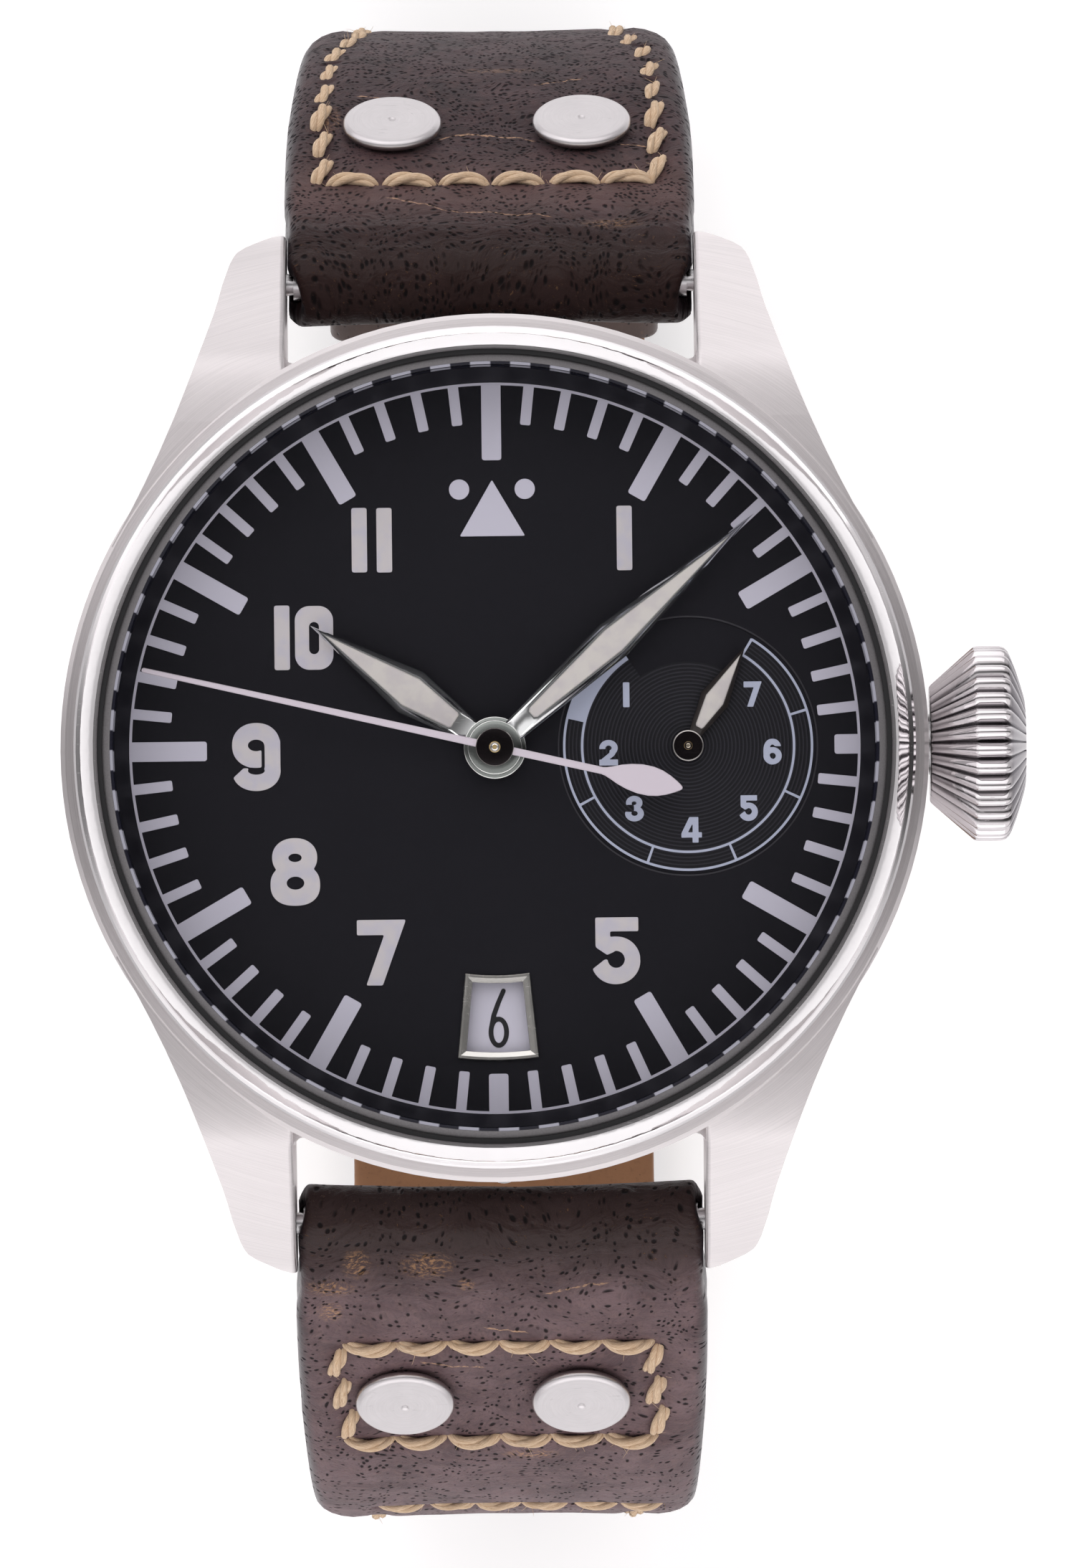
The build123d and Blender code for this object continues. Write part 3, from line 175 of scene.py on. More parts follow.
# ============================================================ materials
def circular_steel(name, base, rough, depth, fine=22.0, aniso=0.75, centre=(0.0, 0.0), axis="Z", scratch=0.5):
    """Steel brushed in circles about an axis."""
    M = Mat(name)
    v = M.mm(M.obj())
    if centre != (0.0, 0.0):
        v = M.vmath("SUBTRACT", v, (centre[0], centre[1], 0.0))
    x, y, z = M.sep(v)
    if axis == "X":
        x, y, z = y, M.math("SUBTRACT", z, 6.9), x
    r = M.math("SQRT", M.math("ADD", M.math("MULTIPLY", x, x), M.math("MULTIPLY", y, y)))
    ux, uy = M.math("DIVIDE", x, M.math("MAXIMUM", r, 0.01)), M.math("DIVIDE", y, M.math("MAXIMUM", r, 0.01))
    grain = M.noise(M.comb(M.math("MULTIPLY", ux, 3.2), M.math("MULTIPLY", uy, 3.2), M.math("MULTIPLY", M.math("SUBTRACT", r, z), fine)), 1.0, 3.0, 0.7)
    coarse = M.noise(M.comb(M.math("MULTIPLY", ux, 7.0), M.math("MULTIPLY", uy, 7.0), M.math("MULTIPLY", M.math("SUBTRACT", r, z), fine * 0.35)), 1.0, 2.0, 0.6)
    cloud = M.noise(v, 0.12, 2.0)
    streak = M.ramp(coarse, 0.58, 0.74)
    shade = M.mixf(M.ramp(grain, 0.3, 0.7), 0.90, 1.05)
    shade = M.math("MULTIPLY", shade, M.mixf(cloud, 0.96, 1.03))
    shade = M.math("SUBTRACT", shade, M.math("MULTIPLY", streak, 0.10 * scratch))
    col = M.mix(1.0, base, M.comb(shade, shade, shade), "MULTIPLY")
    h = M.math("ADD", M.math("MULTIPLY", grain, 0.7), M.math("MULTIPLY", coarse, 0.3))
    M.set(base=col, metal=1.0, rough=M.mixf(grain, rough - 0.05, rough + 0.09), normal=M.bump(h, depth, 0.6))
    if aniso:
        t = M.node("ShaderNodeTangent", direction_type="RADIAL", axis=axis)
        M.set(aniso=aniso, anisorot=0.25, tangent=t.outputs[0])
    return M.m


def polished(name, base, rough=0.06, scratch=0.4, smudge=0.05):
    """Polished metal with hairline scratches and faint smudges."""
    M = Mat(name)
    v = M.mm(M.obj())
    hair = M.noise(M.vmath("MULTIPLY", v, (0.9, 14.0, 9.0)), 1.0, 2.0, 0.6, 0.6)
    hair2 = M.noise(M.vmath("MULTIPLY", v, (15.0, 0.8, 7.0)), 1.0, 2.0, 0.6, 0.4)
    line = M.math("MAXIMUM", M.ramp(hair, 0.66, 0.70), M.ramp(hair2, 0.66, 0.70))
    cloud = M.noise(v, 0.5, 3.0)
    shade = M.mixf(cloud, 0.94, 1.03)
    col = M.mix(1.0, base, M.comb(shade, shade, shade), "MULTIPLY")
    r = M.math("ADD", M.math("ADD", rough, M.math("MULTIPLY", M.ramp(cloud, 0.35, 0.75), smudge)), M.math("MULTIPLY", line, 0.12 * scratch))
    M.set(base=col, metal=1.0, rough=r, normal=M.bump(M.math("SUBTRACT", 1.0, line), 0.004 * scratch, 0.35))
    return M.m


def fluted_steel(name, base, lobes, axis_z, x_cap):
    """Polished steel, duller in the valleys between the flutes. The valleys are painted darker as shade and dark
    reflection, partly grime, and the cap beyond x_cap is painted darker as a dark reflection.
    """
    M = Mat(name)
    v = M.mm(M.obj())
    x, y, z = M.sep(v)
    a = M.math("ARCTAN2", M.math("SUBTRACT", z, axis_z), y)
    f = M.math("ABSOLUTE", M.math("SINE", M.math("MULTIPLY", a, lobes / 2)))
    valley_grime_shade = M.ramp(f, 0.12, 0.52, 1.0, 0.0)
    cap_dark_reflection = M.ramp(x, x_cap - 0.10, x_cap + 0.14)
    cloud = M.noise(v, 0.7, 3.0)
    hair = M.noise(M.vmath("MULTIPLY", v, (0.9, 14.0, 9.0)), 1.0, 2.0, 0.6, 0.6)
    line = M.ramp(hair, 0.64, 0.70)
    shade = M.mixf(cloud, 0.86, 1.06)
    col = M.mix(1.0, base, M.comb(shade, shade, shade), "MULTIPLY")
    # painted shade and dark reflection in the flute valleys, partly grime
    col = M.mix(M.math("MULTIPLY", valley_grime_shade, 0.80), col, (0.075, 0.068, 0.074))
    # painted dark reflection over the crown's cap
    col = M.mix(M.math("MULTIPLY", cap_dark_reflection, 0.62), col, (0.135, 0.130, 0.150))
    rough = M.math("ADD", 0.05, M.math("ADD", M.math("MULTIPLY", line, 0.08), M.math("MULTIPLY", M.math("MAXIMUM", valley_grime_shade, cap_dark_reflection), 0.10)))
    M.set(base=col, metal=1.0, rough=rough, normal=M.bump(M.math("SUBTRACT", 1.0, line), 0.004, 0.35))
    return M.m


def uv_spun_steel(name, base, rough):
    """Turned steel, brushed in circles about the middle of its own face; the uv map is in mm from that middle."""
    M = Mat(name)
    u, w, _ = M.sep(M.uv("skin"))
    r = M.math("SQRT", M.math("ADD", M.math("MULTIPLY", u, u), M.math("MULTIPLY", w, w)))
    ux, uy = M.math("DIVIDE", u, M.math("MAXIMUM", r, 0.01)), M.math("DIVIDE", w, M.math("MAXIMUM", r, 0.01))
    g = M.noise(M.comb(M.math("MULTIPLY", ux, 1.3), M.math("MULTIPLY", uy, 1.3), M.math("MULTIPLY", r, 13.0)), 1.0, 3.0, 0.65)
    c = M.noise(M.mm(M.obj()), 0.9, 3.0)
    nick = M.ramp(M.noise(M.vmath("MULTIPLY", M.mm(M.obj()), (1.0, 9.0, 3.0)), 1.0, 2.0, 0.6, 0.8), 0.67, 0.71)
    shade = M.math("MULTIPLY", M.mixf(g, 0.84, 1.08), M.mixf(c, 0.93, 1.05))
    shade = M.math("SUBTRACT", shade, M.math("MULTIPLY", nick, 0.12))
    col = M.mix(1.0, base, M.comb(shade, shade, shade), "MULTIPLY")
    M.set(base=col, metal=1.0, rough=M.mixf(g, rough - 0.06, rough + 0.10), normal=M.bump(g, 0.012, 0.6))
    return M.m


def lacquer(name, base, rough=0.42, grain=0.10, bump=0.003, spec=0.35, coat=0.0):
    """Paint or print with a fine mottle."""
    M = Mat(name)
    v = M.mm(M.obj())
    n = M.noise(v, 9.0, 3.0, 0.7)
    c = M.noise(v, 0.35, 2.0)
    s = M.math("MULTIPLY", M.mixf(n, 1.0 - grain, 1.0 + grain), M.mixf(c, 1.0 - grain * 0.5, 1.0 + grain * 0.5))
    M.set(base=M.mix(1.0, base, M.comb(s, s, s), "MULTIPLY"), rough=M.mixf(n, rough - 0.06, rough + 0.06), spec=spec,
          normal=M.bump(n, bump, 0.5))
    if coat:
        M.set(coat=coat, coatrough=0.12)
    return M.m


def lume(name, base, edge):
    """Luminous paint: chalky, fine grained, a little cooler in random patches."""
    M = Mat(name)
    v = M.mm(M.obj())
    n = M.noise(v, 14.0, 4.0, 0.7)
    c = M.noise(v, 1.1, 2.0)
    col = M.mix(M.ramp(c, 0.35, 0.7), base, edge)
    s = M.mixf(n, 0.93, 1.06)
    M.set(base=M.mix(1.0, col, M.comb(s, s, s), "MULTIPLY"), rough=0.62, spec=0.25, subs=0.08, normal=M.bump(n, 0.006, 0.5))
    return M.m


STEEL = (0.74, 0.705, 0.71)
m_case = circular_steel("case_brushed_steel", STEEL, 0.42, 0.016, fine=26.0, aniso=0.9)
m_back = circular_steel("back_turned_steel", (0.66, 0.65, 0.65), 0.26, 0.014, fine=9.0, aniso=0.6, scratch=1.0)
m_bezel = polished("bezel_polished_steel", (0.80, 0.78, 0.79), 0.05, 0.35, 0.03)
m_crown = fluted_steel("crown_polished_steel", (0.66, 0.63, 0.645), 32, 6.9, 27.45)
m_buckle = polished("buckle_polished_steel", (0.76, 0.745, 0.75), 0.12, 1.0, 0.08)
m_bar = polished("bar_steel", (0.62, 0.61, 0.62), 0.22, 0.6, 0.05)
m_rivet = uv_spun_steel("rivet_turned_steel", (0.585, 0.56, 0.57), 0.31)
m_hand = polished("hand_polished_steel", (0.80, 0.82, 0.82), 0.09, 0.25, 0.04)
m_hub_steel = polished("hub_steel", (0.20, 0.215, 0.205), 0.13, 0.3, 0.05)
m_hub_lip = polished("hub_lip_steel", (0.80, 0.81, 0.79), 0.10, 0.2, 0.03)
m_hub_dark = polished("hub_dark_polish", (0.030, 0.025, 0.027), 0.14, 0.5, 0.05)
m_hub_rim = polished("hub_bright_rim", (0.86, 0.83, 0.80), 0.12, 0.2, 0.03)
m_pin = polished("pin_steel_warm", (0.56, 0.50, 0.40), 0.18, 0.2, 0.03)
m_lume = lume("lume_cream", srgb(206, 201, 196), srgb(196, 190, 190))
m_print = lacquer("dial_print_cool", srgb(192, 190, 204), 0.55, 0.03)
m_numeral = lume("dial_numeral_lume", srgb(203, 198, 200), srgb(194, 191, 202))
m_subprint = lacquer("sub_dial_print", srgb(170, 176, 196), 0.55, 0.04)
m_seconds = lacquer("seconds_lacquer", srgb(205, 196, 206), 0.38, 0.04, spec=0.4)
m_black_hand = lacquer("reserve_hand_black", (0.022, 0.018, 0.017), 0.35, 0.15, spec=0.4)
m_digit = lacquer("date_digit_black", (0.010, 0.010, 0.013), 0.5, 0.1)
m_date = lacquer("date_disc_white", srgb(206, 204, 218), 0.55, 0.02)
m_frame = polished("date_frame_steel", (0.60, 0.59, 0.56), 0.20, 0.4, 0.06)
m_seal = lacquer("seal_black_rubber", (0.012, 0.012, 0.013), 0.6, 0.2, 0.004, 0.3)
m_iron = circular_steel("ring_soft_iron", (0.42, 0.42, 0.44), 0.38, 0.02, fine=6.0, aniso=0.4)
m_plate = circular_steel("bridge_grained_plate", (0.66, 0.64, 0.61), 0.30, 0.02, fine=5.0, aniso=0.4)
m_gilt = circular_steel("wheel_gilt_brass", (0.78, 0.58, 0.28), 0.26, 0.01, fine=9.0, aniso=0.4)
m_hard = polished("hardened_steel", (0.55, 0.56, 0.60), 0.16, 0.5, 0.05)
m_spring = polished("spring_steel", (0.30, 0.36, 0.50), 0.20, 0.3, 0.05)
m_rotor = circular_steel("rotor_plate", (0.62, 0.60, 0.57), 0.28, 0.02, fine=4.0, aniso=0.5)


def dial_black():
    """Matte near-black lacquer with a very fine grain."""
    M = Mat("dial_matte_black")
    v = M.mm(M.obj())
    n = M.noise(v, 16.0, 3.0, 0.7)
    c = M.noise(v, 0.16, 2.0)
    col = M.mix(c, (0.0052, 0.0050, 0.0082), (0.0074, 0.0070, 0.0105))
    s = M.mixf(n, 0.75, 1.3)
    M.set(base=M.mix(1.0, col, M.comb(s, s, s), "MULTIPLY"), rough=0.62, spec=0.16, normal=M.bump(n, 0.004, 0.5))
    return M.m


def groove_black():
    """Sub-dial turned in fine rings about its own centre."""
    M = Mat("sub_dial_turned_black")
    v = M.vmath("SUBTRACT", M.mm(M.obj()), (10.3, 0.0, 0.0))
    x, y, z = M.sep(v)
    r = M.math("SQRT", M.math("ADD", M.math("MULTIPLY", x, x), M.math("MULTIPLY", y, y)))
    ring = M.math("SINE", M.math("MULTIPLY", M.math("SUBTRACT", r, 0.9), 2 * math.pi / 0.2))
    n = M.noise(M.mm(M.obj()), 12.0, 3.0, 0.7)
    f = M.math("MULTIPLY", M.ramp(ring, -0.1, 1.0), M.mixf(n, 0.75, 1.2))
    col = M.mix(f, (0.0050, 0.0050, 0.0078), (0.0205, 0.0200, 0.0262))
    M.set(base=col, rough=0.5, spec=0.2, normal=M.bump(n, 0.003, 0.4))
    return M.m


def crystal_glass():
    """Clear domed crystal: nearly invisible over the dial, ground and grey on its bevelled edge, with the minute track
    repeated as a painted refraction: grey dashes on a dark band just inside that edge."""
    M = Mat("crystal_clear")
    x, y, z = M.sep(M.mm(M.obj()))
    r = M.math("SQRT", M.math("ADD", M.math("MULTIPLY", x, x), M.math("MULTIPLY", y, y)))
    n = M.noise(M.mm(M.obj()), 11.0, 3.0, 0.75)
    ground = M.ramp(r, 20.34, 20.38)
    # painted refraction: the dial's minute track shown as grey dashes on a dark band inside the ground edge
    a = M.math("ARCTAN2", y, x)
    wave = M.math("SINE", M.math("MULTIPLY", a, 60.0))
    refracted_dash = M.ramp(wave, -0.15, 0.15)
    refraction_band = M.math("MULTIPLY", M.ramp(r, 20.19, 20.21), M.math("SUBTRACT", 1.0, ground))
    grey = M.mixf(n, 0.10, 0.23)
    col = M.mix(refraction_band, (0.002, 0.002, 0.003), M.mix(refracted_dash, (0.012, 0.012, 0.02), (0.36, 0.36, 0.42)))
    col = M.mix(ground, col, M.comb(grey, M.math("MULTIPLY", grey, 0.96), M.math("MULTIPLY", grey, 0.99)))
    alpha = M.mixf(refraction_band, 0.02, 0.85)
    alpha = M.mixf(ground, alpha, 0.97)
    M.set(base=col, alpha=alpha, rough=M.mixf(ground, 0.03, 0.55), spec=0.22, normal=M.bump(M.math("MULTIPLY", n, ground), 0.02, 0.5))
    return M.m


m_dial = dial_black()
m_groove = groove_black()
m_glass = crystal_glass()


def leather(name, total, six):
    """Dark oiled calf. The uv map 'skin' is (across, along) in mm, zero along at the spring bar. The 12 o'clock copy
    takes darker tones than the 6 o'clock copy as painted shade. Both copies are painted darker towards the fold round
    the bar as shade, and the 12 copy carries a painted highlight band above the fold.
    """
    M = Mat(name)
    uv = M.uv("skin")
    x, s, _ = M.sep(uv)

    def seg(a, b, width):
        """One thin wavering line from a to b, in mm on the face."""
        ax, ay, bx, by = a[0], a[1], b[0], b[1]
        L = math.hypot(bx - ax, by - ay)
        ux, uy = (bx - ax) / L, (by - ay) / L
        dx, dy = M.math("SUBTRACT", x, ax), M.math("SUBTRACT", s, ay)
        along = M.math("ADD", M.math("MULTIPLY", dx, ux), M.math("MULTIPLY", dy, uy))
        across = M.math("SUBTRACT", M.math("MULTIPLY", dy, ux), M.math("MULTIPLY", dx, uy))
        across = M.math("ABSOLUTE", M.math("ADD", across, waver))
        inside = M.math("MULTIPLY", M.ramp(along, -0.1, 0.3), M.math("SUBTRACT", 1.0, M.ramp(along, L - 0.3, L + 0.1)))
        return M.math("MULTIPLY", M.math("SUBTRACT", 1.0, M.ramp(across, width * 0.3, width)), inside)

    waver = M.math("MULTIPLY", M.math("SUBTRACT", M.noise(M.vmath("ADD", uv, (2.0, 17.0, 0.0)), 0.75, 3.0, 0.6), 0.5), 0.85)
    warp = M.noise(uv, 0.22, 2.0, 0.5)
    warp2 = M.noise(M.vmath("ADD", uv, (31.0, 7.0, 0.0)), 0.22, 2.0, 0.5)
    wx = M.math("ADD", x, M.math("MULTIPLY", warp, 3.0))
    ws = M.math("ADD", s, M.math("MULTIPLY", warp2, 3.4))
    w = M.comb(wx, ws, 0.0)
    # pores: small dark pits in wavy rows, lying a little aslant
    ca, sa = math.cos(math.radians(-16)), math.sin(math.radians(-16))
    pu = M.math("SUBTRACT", M.math("MULTIPLY", wx, ca * (2.75 if six else 3.3)), M.math("MULTIPLY", ws, sa * (2.75 if six else 3.3)))
    pv = M.math("ADD", M.math("MULTIPLY", wx, sa * (2.55 if six else 3.0)), M.math("MULTIPLY", ws, ca * (2.55 if six else 3.0)))
    pore_d = M.voronoi(M.comb(pu, pv, 0.0), 1.0, "F1", 0.72)
    size = M.noise(M.vmath("ADD", uv, (5.0, 2.0, 0.0)), 0.5, 3.0)
    lo_r, hi_r = (0.22, 0.38) if six else (0.34, 0.50)
    pore = M.math("SUBTRACT", 1.0, M.ramp(pore_d, 0.16, M.mixf(M.ramp(size, 0.22, 0.56), lo_r, hi_r)))
    # fine pebble and long shallow creases
    pebble = M.voronoi(M.vmath("MULTIPLY", w, (1.0, 1.3, 1.0)), 1.9, "SMOOTH_F1", 1.0)
    fine = M.noise(w, 5.0, 4.0, 0.68)
    mottle = M.noise(w, 1.6, 4.0, 0.65)
    crease = M.noise(M.vmath("MULTIPLY", w, (0.20, 1.0, 1.0)), 1.0, 4.0, 0.6, 0.9)
    near = M.math("SUBTRACT", 1.0, M.ramp(s, 2.0, 6.0))
    # tan specks where the fold has worn
    crack = M.math("MULTIPLY", M.ramp(M.noise(M.vmath("MULTIPLY", w, (1.0, 1.6, 1.0)), 4.2, 5.0, 0.8), 0.58, 0.66), M.math("SUBTRACT", 1.0, M.ramp(s, 1.5, 5.5)))
    crack = M.math("MULTIPLY", crack, M.ramp(M.noise(w, 0.55, 2.0), 0.42, 0.62))
    # thin tan scratches and rubbed patches
    if six:
        lines = [((-4.5, 9.4), (-1.0, 10.1), 0.050), ((2.2, 3.3), (5.8, 2.6), 0.045), ((-1.0, 6.0), (1.4, 6.6), 0.04)]
        patches = [(-4.0, 1.3, 0.55, 0.95), (-7.8, 1.2, 1.05, 0.85), (-9.2, 2.8, 0.60, 1.25), (-9.3, 4.6, 1.10, 1.00), (-1.9, 2.6, 1.6, 1.8), (1.5, 18.5, 0.5, 1.6)]
    else:
        lines = [((-2.85, 12.0), (-1.25, 12.4), 0.060), ((-1.35, 12.4), (2.5, 11.5), 0.060), ((7.0, 10.9), (8.7, 10.6), 0.055), ((-7.3, 16.7), (-4.5, 16.4), 0.050),
                 ((-5.6, 5.0), (-1.6, 3.2), 0.050), ((-1.5, 3.3), (3.4, 2.6), 0.042), ((2.5, 18.3), (5.2, 19.0), 0.045)]
        patches = [(6.6, 2.0, 0.45, 1.7), (-8.6, 14.0, 1.5, 0.5), (0.5, 20.5, 0.35, 1.8)]
    line = 0.0
    for a, b, wd in lines:
        line = M.math("MAXIMUM", seg(a, b, wd * 1.6), line)
    line = M.math("MULTIPLY", line, M.ramp(M.noise(uv, 3.2, 3.0, 0.7), 0.34, 0.55))
    patch = 0.0
    for cx, cs, kx, ks in patches:
        d = M.vmath("LENGTH", M.vmath("MULTIPLY", M.vmath("SUBTRACT", uv, (cx, cs, 0.0)), (kx, ks, 0.0)))
        patch = M.math("MAXIMUM", M.math("SUBTRACT", 1.0, M.ramp(d, 0.25, 1.0)), patch)
    rub_n = M.ramp(M.noise(M.vmath("MULTIPLY", w, (1.0, 1.8, 1.0)), 3.6, 5.0, 0.75), 0.47, 0.60)
    rub = M.math("MULTIPLY", rub_n, M.math("MULTIPLY", patch, 0.95 if six else 0.5))
    half = M.ramp(s, 15.0, 0.75 * total, 11.15, 9.0, smooth=False)
    edge = M.ramp(M.math("SUBTRACT", half, M.math("ABSOLUTE", x)), 0.05, 0.75, 1.0, 0.0)
    tone = M.noise(w, 0.30, 4.0, 0.6)
    # painted shade: the 12 half's tones and mottle are darker than the 6 half's, for the same leather lit less
    dark, light = ((78, 60, 63), (110, 89, 92)) if six else ((37, 24, 26), (63, 44, 47))
    col = M.mix(M.ramp(tone, 0.25, 0.75), srgb(*dark), srgb(*light))
    col = M.mix(M.math("MULTIPLY", M.ramp(mottle, 0.42, 0.72), 0.42), col, srgb(*((116, 93, 90) if six else (84, 60, 57))))
    col = M.mix(M.math("MULTIPLY", M.ramp(fine, 0.30, 0.55, 1.0, 0.0), 0.38), col, srgb(44, 34, 37))
    col = M.mix(M.math("MULTIPLY", M.ramp(crease, 0.52, 0.66), 0.25), col, srgb(48, 36, 38))
    col = M.mix(M.math("MULTIPLY", line, 0.85), col, srgb(176, 140, 112))
    col = M.mix(M.math("MULTIPLY", rub, 0.85), col, srgb(172, 132, 98))
    # painted shade: the leather is darkened towards the fold round the spring bar; the same mask also makes the fold
    # glossier and places rubbed wear there
    fold_shade = M.math("SUBTRACT", 1.0, M.ramp(s, -0.6, 4.6))
    # painted highlight: a lighter band on the 12 half between the fold and the stitching, where the slope catches the
    # light
    lift = M.math("MULTIPLY", M.ramp(s, 0.5, 5.5), M.math("SUBTRACT", 1.0, M.ramp(s, 5.5, 12.0)))
    if not six:
        col = M.mix(M.math("MULTIPLY", lift, 0.24), col, srgb(126, 96, 90))
    col = M.mix(M.math("MULTIPLY", fold_shade, 0.88 if six else 0.80), col, srgb(31, 15, 10))
    col = M.mix(M.math("MULTIPLY", pore, 0.90 if six else 0.95), col, srgb(10, 7, 8))
    col = M.mix(M.math("MULTIPLY", crack, 0.75), col, srgb(124, 90, 62))
    col = M.mix(M.math("MULTIPLY", M.math("MULTIPLY", rub, fold_shade), 0.8), col, srgb(160, 120, 86))
    col = M.mix(M.math("MULTIPLY", edge, 0.80), col, srgb(24, 20, 25))
    h = M.math("SUBTRACT", M.math("MULTIPLY", fine, 0.40), M.math("MULTIPLY", pore, 0.80))
    h = M.math("ADD", h, M.math("MULTIPLY", mottle, 0.5))
    h = M.math("ADD", h, M.math("MULTIPLY", pebble, M.mixf(near, 0.12, 0.9)))
    h = M.math("ADD", h, M.math("MULTIPLY", crease, M.mixf(near, 0.30, 1.7)))
    h = M.math("SUBTRACT", h, M.math("MULTIPLY", crack, 0.35))
    h = M.math("MULTIPLY", h, M.mixf(edge, 1.0, 0.3))
    rough = M.mixf(fine, 0.44, 0.66)
    rough = M.mixf(edge, rough, 0.30)
    rough = M.mixf(M.math("MULTIPLY", fold_shade, 0.6), rough, 0.34)
    rough = M.mixf(pore, rough, 0.95)
    M.set(base=col, rough=rough, spec=0.19 if six else 0.14, sheen=0.04, sheenrough=0.45, sheentint=(0.80, 0.74, 0.88), normal=M.bump(h, 0.14, 0.85))
    return M.m


def lining_leather():
    M = Mat("lining_smooth_leather")
    uv = M.uv("skin")
    w = M.vmath("ADD", uv, (3.0, 8.0, 0.0))
    n = M.noise(w, 2.6, 4.0, 0.65)
    d = M.voronoi(w, 2.9, "F1", 0.9)
    pore = M.math("SUBTRACT", 1.0, M.ramp(d, 0.06, 0.16))
    tone = M.noise(w, 0.18, 3.0)
    col = M.mix(tone, srgb(112, 76, 50), srgb(146, 104, 70))
    col = M.mix(M.math("MULTIPLY", M.ramp(n, 0.5, 0.8), 0.4), col, srgb(92, 60, 40))
    col = M.mix(M.math("MULTIPLY", pore, 0.6), col, srgb(66, 42, 28))
    h = M.math("SUBTRACT", M.math("MULTIPLY", n, 0.5), M.math("MULTIPLY", pore, 0.5))
    M.set(base=col, rough=M.mixf(n, 0.45, 0.65), spec=0.35, sheen=0.15, normal=M.bump(h, 0.06, 0.6))
    return M.m


def thread():
    """Waxed linen thread; the uv map is (round the strand, along it) in mm."""
    M = Mat("thread_tan_linen")
    uv = M.uv("skin")
    f = M.noise(M.vmath("MULTIPLY", uv, (26.0, 2.2, 1.0)), 1.0, 3.0, 0.7, 0.4)
    c = M.noise(M.mm(M.obj()), 0.8, 3.0)
    col = M.mix(M.ramp(f, 0.25, 0.7), srgb(172, 138, 106), srgb(228, 204, 176))
    col = M.mix(M.math("MULTIPLY", M.ramp(c, 0.4, 0.7), 0.30), col, srgb(198, 164, 128))
    M.set(base=col, rough=0.74, spec=0.25, sheen=0.35, sheenrough=0.4, sheentint=(0.9, 0.8, 0.65), normal=M.bump(f, 0.05, 0.8))
    return M.m


m_lining = lining_leather()
m_thread = thread()


# ============================================================ mesh helpers
def put_mesh(name, verts, faces, body, mats, uv=None, mat_index=None, sharp=None, slot=None, weld=None, flip_check=True):
    """Makes one object from millimetre points. uv is one (u, v) per vertex, in mm."""
    me = bpy.data.meshes.new(name)
    me.from_pydata([(float(p[0]) * MM, float(p[1]) * MM, float(p[2]) * MM) for p in verts], [], faces)
    if uv is not None:
        layer = me.uv_layers.new(name="skin")
        for loop in me.loops:
            layer.data[loop.index].uv = uv[loop.vertex_index]
    if mat_index is not None:
        me.polygons.foreach_set("material_index", mat_index)
    bm = bmesh.new()
    bm.from_mesh(me)
    if weld:
        bmesh.ops.remove_doubles(bm, verts=bm.verts, dist=weld * MM)
    if flip_check:
        bmesh.ops.recalc_face_normals(bm, faces=bm.faces)
    bm.to_mesh(me)
    bm.free()
    me.polygons.foreach_set("use_smooth", [True] * len(me.polygons))
    if sharp is not None:
        me.set_sharp_from_angle(angle=math.radians(sharp))
    for m in mats if isinstance(mats, (list, tuple)) else [mats]:
        me.materials.append(m)
    ob = bpy.data.objects.new(name, me)
    scene.collection.objects.link(ob)
    if body:
        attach(ob, body)
    return ob


class Bag:
    """Collects meshes into one object."""

    def __init__(self):
        self.v, self.f, self.uv, self.mi = [], [], [], []

    def add(self, verts, faces, uv=None, mi=0):
        k = len(self.v)
        self.v += [tuple(map(float, p)) for p in verts]
        self.f += [tuple(i + k for i in f) for f in faces]
        self.uv += uv if uv is not None else [(p[0], p[1]) for p in verts]
        self.mi += [mi] * len(faces)

    def make(self, name, body, mats, **k):
        return put_mesh(name, self.v, self.f, body, mats, uv=self.uv, mat_index=self.mi, **k)


def lathe(profile, n=96, axis_pt=(0, 0, 0), basis=None, closed_ends=True):
    """Turns (r, h) points about an axis. basis is (u, v, w) with w along the axis."""
    u, v, w = basis if basis else (Vector((1, 0, 0)), Vector((0, 1, 0)), Vector((0, 0, 1)))
    c = Vector(axis_pt)
    verts, faces, uv = [], [], []
    rings = []
    for r, h in profile:
        if r < 1e-6:
            rings.append([len(verts)])
            verts.append(tuple(c + w * h))
            uv.append((0.0, 0.0))
        else:
            rings.append(list(range(len(verts), len(verts) + n)))
            for i in range(n):
                a = 2 * math.pi * i / n
                verts.append(tuple(c + u * (r * math.cos(a)) + v * (r * math.sin(a)) + w * h))
                uv.append((r * math.cos(a), r * math.sin(a)))
    for a, b in zip(rings[:-1], rings[1:]):
        if len(a) == 1 and len(b) == 1:
            continue
        for i in range(n):
            j = (i + 1) % n
            if len(a) == 1:
                faces.append((a[0], b[i], b[j]))
            elif len(b) == 1:
                faces.append((a[i], a[j], b[0]))
            else:
                faces.append((a[i], a[j], b[j], b[i]))
    return verts, faces, uv


def plate(loops, z0, z1, chamfer=0.0):
    """Solid plate between two heights from one outer loop and its holes (points in mm)."""
    flat = [p for lp in loops for p in lp]
    tris = tessellate_polygon([[Vector((x, y, 0)) for x, y in lp] for lp in loops])
    n = len(flat)
    verts = [(x, y, z1) for x, y in flat] + [(x, y, z0) for x, y in flat]
    faces = [tuple(t) for t in tris] + [tuple(i + n for i in t[::-1]) for t in tris]
    k = 0
    for lp in loops:
        m = len(lp)
        for i in range(m):
            a, b = k + i, k + (i + 1) % m
            faces.append((a, b, b + n, a + n))
        k += m
    return verts, faces


def area_of(lp):
    return 0.5 * sum(lp[i][0] * lp[(i + 1) % len(lp)][1] - lp[(i + 1) % len(lp)][0] * lp[i][1] for i in range(len(lp)))


